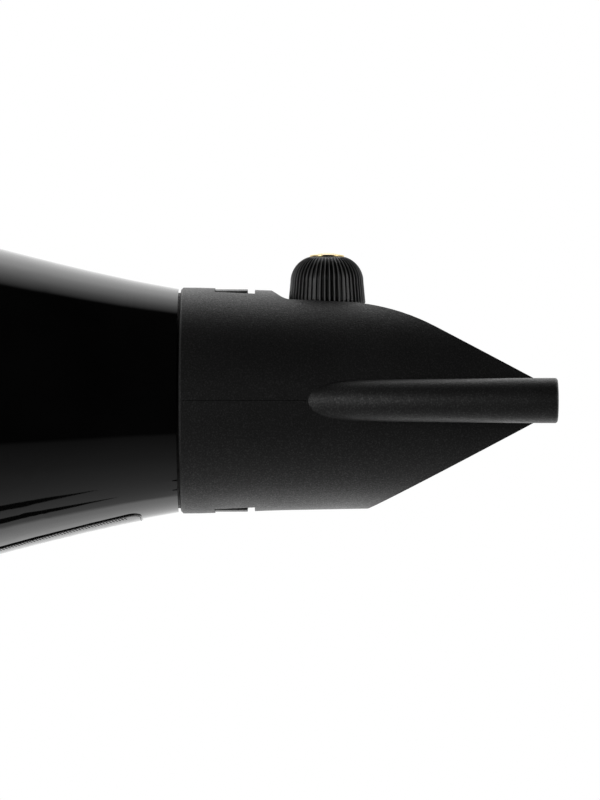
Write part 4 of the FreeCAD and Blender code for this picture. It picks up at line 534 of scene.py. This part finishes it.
def woven_filter():
    """The intake filter: a plain weave of fine wire in a pressed rim."""
    low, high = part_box("filter_mesh")
    x, rim_r = (low.x + high.x) / 2, (high.z - low.z) / 2 / MM
    pitch, wave, wire_r = 1.3 * MM, 0.09 * MM, 0.1 * MM
    reach = (rim_r - 0.6) * MM
    count = int(reach / pitch)
    parts = []
    for i in range(-count, count + 1):
        half = math.sqrt(reach**2 - (i * pitch) ** 2)
        steps = int(half / (pitch / 2))
        if steps < 2:
            continue
        along = np.arange(-steps, steps + 1) * pitch / 2
        sway = wave * np.cos(np.pi * along / pitch + np.pi * i)
        fixed = np.full_like(along, i * pitch)
        parts.append(sweep(np.column_stack([x + sway, fixed, AXIS_Z + along]), wire_r, 4))
        parts.append(sweep(np.column_stack([x - sway, along, AXIS_Z + fixed]), wire_r, 4))
    width, half, edge, columns = 1.1, 0.19, 0.1, 96
    rim = [(rim_r - width, -half), (rim_r - edge, -half), (rim_r, -edge), (rim_r, edge),
           (rim_r - edge, half), (rim_r - width, half)]
    ring = lathe(rim, columns, "X", (x, 0, AXIS_Z))
    parts.append((ring, grid_faces(len(rim), columns, closed_rows=True)))
    points, faces = join_meshes(parts)
    mesh_piece("woven_filter", points, faces, "steel", "guard", ["filter_mesh"])


def heater_wires():
    """Each heating coil as one coiled wire per notch."""
    ring_r, coil_r, wire_r, turns, per_turn = 15.5 * MM, 1.55 * MM, 0.22 * MM, 64, 12
    share = np.arange(turns * per_turn) / (turns * per_turn)
    round_axis, round_wire = 2 * np.pi * share, 2 * np.pi * share * turns
    out = ring_r + coil_r * np.cos(round_wire)
    for node in ("heater_coil_rear", "heater_coil_front"):
        low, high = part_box(node)
        tube = 1.8 * MM
        parts = []
        for x in np.linspace(low.x + tube, high.x - tube, 4):
            path = np.column_stack([
                x + coil_r * np.sin(round_wire),
                out * np.cos(round_axis),
                AXIS_Z + out * np.sin(round_axis),
            ])
            parts.append(sweep(path, wire_r, 5, closed=True))
        points, faces = join_meshes(parts)
        mesh_piece(node + "_wire", points, faces, "nichrome", "root", [node])


def parting_lines():
    """The nozzle mould's parting line: a thin dull ridge on both sides, up to the slit duct."""
    shell = surface_of("nozzle_shell")
    start, end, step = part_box("nozzle_shell")[0].x + 0.8 * MM, KNOB_X - 4.8 * MM, 1.0 * MM
    outside, ridge_r = 60 * MM, 0.06 * MM
    parts = []
    for side in (-1, 1):
        ridge = []
        for x in np.arange(start, end, step):
            hit = shell.ray_cast(Vector((x, side * outside, AXIS_Z)), Vector((0, -side, 0)))
            ridge.append(hit[0])
        parts.append(sweep(ridge, ridge_r, 6))
    points, faces = join_meshes(parts)
    mesh_piece("parting_lines", points, faces, "matt_black", "nozzle", finish=INK)


def plate_border():
    """A raised line round the rating plate, and a row of leaning hatches inside its long sides."""
    plate = surface_of("rating_plate")
    low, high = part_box("rating_plate")

    def skin(x, y, lift):
        """The plate's outer face under (x, y), lifted off it."""
        hit = plate.ray_cast(Vector((x, y, FLOOR_Z)), Vector((0, 0, 1)))
        return hit[0] + hit[1] * lift if hit[0] else None

    edge, corner, spacing, arc_steps = 0.3 * MM, 2.7 * MM, 0.5 * MM, 12
    path = []
    for cx, cy, start in (
        (high.x - edge - corner, high.y - edge - corner, 0),
        (low.x + edge + corner, high.y - edge - corner, 90),
        (low.x + edge + corner, low.y + edge + corner, 180),
        (high.x - edge - corner, low.y + edge + corner, 270),
    ):
        for i in range(arc_steps + 1):
            turn = math.radians(start + 90 * i / arc_steps)
            path.append((cx + corner * math.cos(turn), cy + corner * math.sin(turn)))
    dense = []
    for (x0, y0), (x1, y1) in zip(path, path[1:] + path[:1]):
        steps = max(1, int(math.hypot(x1 - x0, y1 - y0) / spacing))
        dense += [(x0 + (x1 - x0) * k / steps, y0 + (y1 - y0) * k / steps) for k in range(steps)]
    bead = [skin(x, y, 0.0) for x, y in dense]
    bead = [p for p in bead if p is not None]
    bead_r = 0.06 * MM
    parts = [sweep(bead, bead_r, 6, closed=True)]
    # The hatches: their margins to the plate's ends and sides, then their own sizes.
    end_margin, side_margin = 3 * MM, 0.7 * MM
    pitch, length, width, lean, lift = 0.7 * MM, 1.2 * MM, 0.12 * MM, 0.45 * MM, 0.03 * MM
    for side in (low.y + side_margin, high.y - side_margin):
        inward = length if side < 0 else -length
        for k in range(int((high.x - low.x - 2 * end_margin) / pitch)):
            x = low.x + end_margin + k * pitch
            corners = [(x, side), (x + 2 * width, side), (x + 2 * width + lean, side + inward),
                       (x + lean, side + inward)]
            top = [skin(px, py, lift) for px, py in corners]
            foot = [skin(px, py, -lift) for px, py in corners]
            if None in top or None in foot:
                continue
            faces = [(0, 1, 2, 3)] + [(i, (i + 1) % 4, (i + 1) % 4 + 4, i + 4) for i in range(4)]
            parts.append((top + foot, faces))
    points, faces = join_meshes(parts)
    mesh_piece("plate_border", points, faces, "matt_black", "root", smooth=False, finish=INK)


def switch_marks():
    """Raised dots on the speed rocker and bars on the heat rocker: one for low, two for high."""
    # A rocker's face is this far from its pivot at face_offset from its middle, and climbs by
    # end_slope for each mm towards its ends.
    pivot_x, surface_rise, face_offset, end_slope = 12.0, 5.72, 6.0, 0.18
    single, double = (-face_offset,), (5.2, 6.8)
    height, sunk, columns = 0.25, 0.3, 20
    # A mark's rows, from its foot to the middle of its top: the share of its size, and its height.
    rows = ((1.0, -sunk), (1.0, height * 0.6), (0.8, height), (0.03, height))
    along = in_handle(1, 0, 0) / MM
    up = in_handle(0, 0, 1) / MM
    side = Vector((0, 1, 0))
    for name, centre_z, half_y, half_z in (
        ("speed_rocker", -23.0, 0.5, 0.5), ("heat_rocker", 1.5, 1.6, 0.35)
    ):
        parts = []
        for offset in single + double:
            rise = surface_rise + (abs(offset) - face_offset) * end_slope
            centre = in_handle(pivot_x + rise, 0, centre_z + offset)
            points = []
            for scale, lift in rows:
                for j in range(columns):
                    turn = 2 * math.pi * j / columns
                    y, z = math.cos(turn), math.sin(turn)
                    if half_y != half_z:
                        # A bar with round ends.
                        y = y * half_z + math.copysign(half_y - half_z, y)
                        z = z * half_z
                    else:
                        y, z = y * half_y, z * half_z
                    points.append(centre + (side * y + up * z) * scale * MM + along * lift * MM)
            parts.append((points, grid_faces(len(rows), columns)))
        points, faces = join_meshes(parts)
        mesh_piece(name + "_marks", points, faces, "white_plastic", name)


def return_spring():
    """The cool button's spring, a coil of steel wire."""
    seat, start, end, coil_r, wire_r, turns, z = 3.5, 3.9, 8.8, 3.3, 0.35, 4, 23.5
    steps = turns * 24
    path = []
    for i in range(steps + 1):
        turn = 2 * math.pi * turns * i / steps
        x = start + (end - start) * i / steps
        path.append(in_handle(x, coil_r * math.sin(turn), z + coil_r * math.cos(turn)))
    points, faces = sweep(path, wire_r * MM, 10)
    spring = mesh_piece("return_spring", points, faces, "steel", "root", ["cool_spring"])
    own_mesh(spring)


def soften(node, width):
    """Rounds a CAD node's sharp edges, which the moulds and tools leave a little soft."""
    bevel = NODES[node].modifiers.new("soft_edges", "BEVEL")
    bevel.width = width
    bevel.segments = 2
    bevel.limit_method = "ANGLE"
    bevel.angle_limit = math.radians(38)
    bevel.use_clamp_overlap = True
    bevel.harden_normals = True


def mend_shading(node):
    """Evens out a CAD node's normals, where its facets meet at a slant."""
    modifier = NODES[node].modifiers.new("even_normals", "WEIGHTED_NORMAL")
    modifier.weight = 50


# ---------------------------------------------------------------- camera and studio


def camera():
    """A long lens about a metre from the dryer's right side, level with the barrel's axis."""
    data = bpy.data.cameras.new("camera")
    distance, view_height = 1.0, 184.8 * MM
    past_rim, above_axis = 27.3735 * MM, 0.1155 * MM
    data.sensor_width = 36
    data.lens = data.sensor_width * distance / view_height
    data.clip_start, data.clip_end = 0.05, 30
    lens = bpy.data.objects.new("camera", data)
    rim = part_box("nozzle_shell")[0].x
    lens.location = (rim + past_rim, -distance, AXIS_Z + above_axis)
    lens.rotation_euler = (math.radians(90), 0, 0)
    bpy.context.scene.collection.objects.link(lens)
    bpy.context.scene.camera = lens


def studio_light():
    """A white surround. The object is lit from behind and below, and the room in front is dark.

    The brightness depends on the angle round the barrel's axis, measured from the far side. Both
    ends of the room, beyond the nozzle and behind the intake, are pale whatever that angle is."""
    world = bpy.data.worlds.new("studio")
    bpy.context.scene.world = world
    world.use_nodes = True
    nodes, links = world.node_tree.nodes, world.node_tree.links

    def add(kind, **settings):
        node = nodes.new(kind)
        for key, setting in settings.items():
            setattr(node, key, setting)
        return node

    place = add("ShaderNodeTexCoord")
    split = add("ShaderNodeSeparateXYZ")
    links.new(place.outputs["Generated"], split.inputs["Vector"])
    angle = add("ShaderNodeMath", operation="ARCTAN2")
    links.new(split.outputs["Z"], angle.inputs[0])
    links.new(split.outputs["Y"], angle.inputs[1])
    share = add("ShaderNodeMapRange")
    share.inputs["From Min"].default_value = -math.pi
    share.inputs["From Max"].default_value = math.pi
    links.new(angle.outputs["Value"], share.inputs["Value"])
    # Degrees from the far horizon, up positive, and the brightness there as a share of the most.
    stops = (
        (-180, 0.0), (-146, 0.0), (-143, 0.05), (-120, 0.12), (-93, 0.24), (-66, 0.36), (-62, 0.8),
        (-40, 0.8), (0, 0.75), (30, 0.95), (48, 1.0), (63, 0.66), (75, 0.22), (79, 0.0), (180, 0.0),
    )
    ramp_node = add("ShaderNodeValToRGB")
    ramp = ramp_node.color_ramp
    while len(ramp.elements) < len(stops):
        ramp.elements.new(0.5)
    for element, (degrees, level) in zip(ramp.elements, stops):
        element.position = (degrees + 180) / 360
        element.color = (level, level, level, 1)
    links.new(share.outputs["Result"], ramp_node.inputs["Fac"])

    end_on = add("ShaderNodeMath", operation="ABSOLUTE")
    links.new(split.outputs["X"], end_on.inputs[0])
    ends = add("ShaderNodeMapRange", interpolation_type="SMOOTHSTEP")
    ends.inputs["From Min"].default_value = 0.62
    ends.inputs["From Max"].default_value = 0.9
    links.new(end_on.outputs["Value"], ends.inputs["Value"])
    room = add("ShaderNodeMix", data_type="RGBA")
    links.new(ends.outputs["Result"], room.inputs["Factor"])
    links.new(ramp_node.outputs["Color"], room.inputs["A"])
    room.inputs["B"].default_value = (0.5, 0.5, 0.5, 1)

    sight = add("ShaderNodeLightPath")
    mix = add("ShaderNodeMix", data_type="RGBA")
    links.new(sight.outputs["Is Camera Ray"], mix.inputs["Factor"])
    links.new(room.outputs["Result"], mix.inputs["A"])
    brightest = 1.7
    mix.inputs["B"].default_value = (1 / brightest, 1 / brightest, 1 / brightest, 1)
    background = nodes["Background"]
    links.new(mix.outputs["Result"], background.inputs["Color"])
    background.inputs["Strength"].default_value = brightest


def soft_box(name, azimuth, elevation, distance, size, power):
    """A square soft light that points at the nozzle. Azimuth 0 is the viewer's side."""
    light = bpy.data.lights.new(name, "AREA")
    light.shape, light.size, light.energy = "SQUARE", size, power
    lamp = bpy.data.objects.new(name, light)
    turn, rise = math.radians(azimuth), math.radians(elevation)
    back = Vector((
        math.sin(turn) * math.cos(rise), -math.cos(turn) * math.cos(rise), math.sin(rise)))
    lamp.location = Vector((KNOB_X, 0, AXIS_Z)) + back * distance
    lamp.rotation_euler = (-back).to_track_quat("-Z", "Y").to_euler()
    lamp.visible_camera = False
    bpy.context.scene.collection.objects.link(lamp)


def flags():
    """Two dark tapered flags under the barrel's neck, which draw fine lines in its gloss."""
    z = AXIS_Z - 100 * MM
    points, faces = [], []
    for y, tip in ((-20.8, 82), (1.2, 83)):
        first = len(points)
        for x, half in ((47, 4.9), (58, 4.7), (70, 3.5), (tip, 0.2)):
            points += [(x * MM, (y - half) * MM, z), (x * MM, (y + half) * MM, z)]
        strip = grid_faces(4, 2, closed_columns=False)
        faces += [tuple(i + first for i in face) for face in strip]
    mesh = bpy.data.meshes.new("flags")
    mesh.from_pydata(points, [], faces)
    flag = bpy.data.objects.new("flags", mesh)
    bpy.context.scene.collection.objects.link(flag)
    for sight in ("visible_camera", "visible_diffuse", "visible_shadow"):
        setattr(flag, sight, False)
    m = Material("black_cloth")
    m.set("Base Color", m.colours(m.noise(0.8 * MM), (0.3, grey(0.0)), (0.7, grey(0.002))))
    m.set("Roughness", m.between(m.noise(2 * MM), 0.9, 1.0))
    m.shader.inputs["Specular IOR Level"].default_value = 0.0
    mesh.materials.append(m.material)


def floor():
    """A pale floor under the hanging loop, which fades into the white surround."""
    half, middle_x, fade_start, fade_end = 0.75, 0.04, 0.16, 0.7
    mesh = bpy.data.meshes.new("floor")
    mesh.from_pydata(
        [(x * half + middle_x, y * half, FLOOR_Z) for x, y in ((-1, -1), (1, -1), (1, 1), (-1, 1))],
        [], [(0, 1, 2, 3)],
    )
    ground = bpy.data.objects.new("floor", mesh)
    bpy.context.scene.collection.objects.link(ground)
    for sight in ("visible_diffuse", "visible_glossy", "visible_transmission", "visible_shadow"):
        setattr(ground, sight, False)
    material = bpy.data.materials.new("floor")
    material.use_nodes = True
    nodes, links = material.node_tree.nodes, material.node_tree.links
    shader = nodes["Principled BSDF"]
    shader.inputs["Base Color"].default_value = (0.85, 0.85, 0.85, 1)
    shader.inputs["Roughness"].default_value = 0.9
    shader.inputs["Specular IOR Level"].default_value = 0.0
    shader.inputs["Emission Color"].default_value = (1, 1, 1, 1)
    shader.inputs["Emission Strength"].default_value = 0.38
    white = nodes.new("ShaderNodeEmission")
    place = nodes.new("ShaderNodeTexCoord")
    distance = nodes.new("ShaderNodeVectorMath")
    distance.operation = "LENGTH"
    links.new(place.outputs["Object"], distance.inputs[0])
    fade = nodes.new("ShaderNodeMapRange")
    fade.interpolation_type = "SMOOTHSTEP"
    fade.inputs["From Min"].default_value = fade_start
    fade.inputs["From Max"].default_value = fade_end
    links.new(distance.outputs["Value"], fade.inputs["Value"])
    blend = nodes.new("ShaderNodeMixShader")
    links.new(fade.outputs["Result"], blend.inputs["Fac"])
    links.new(shader.outputs["BSDF"], blend.inputs[1])
    links.new(white.outputs["Emission"], blend.inputs[2])
    links.new(blend.outputs["Shader"], nodes["Material Output"].inputs["Surface"])
    mesh.materials.append(material)


dress_frame()
ribbed_knob()
gold_cap()
woven_filter()
heater_wires()
parting_lines()
plate_border()
switch_marks()
return_spring()
for node, width in (
    ("speed_rocker", 0.4 * MM), ("heat_rocker", 0.4 * MM), ("hanging_loop", 0.5 * MM),
    ("nozzle_clips", 0.12 * MM), ("rear_guard", 0.2 * MM),
):
    soften(node, width)
mend_shading("casing_left")
camera()
studio_light()
soft_box("left_front_light", azimuth=-45, elevation=2, distance=1.1, size=0.45, power=2.2)
soft_box("right_front_light", azimuth=66, elevation=12, distance=1.2, size=0.5, power=1.6)
flags()
floor()
bpy.context.scene.view_settings.view_transform = "Standard"
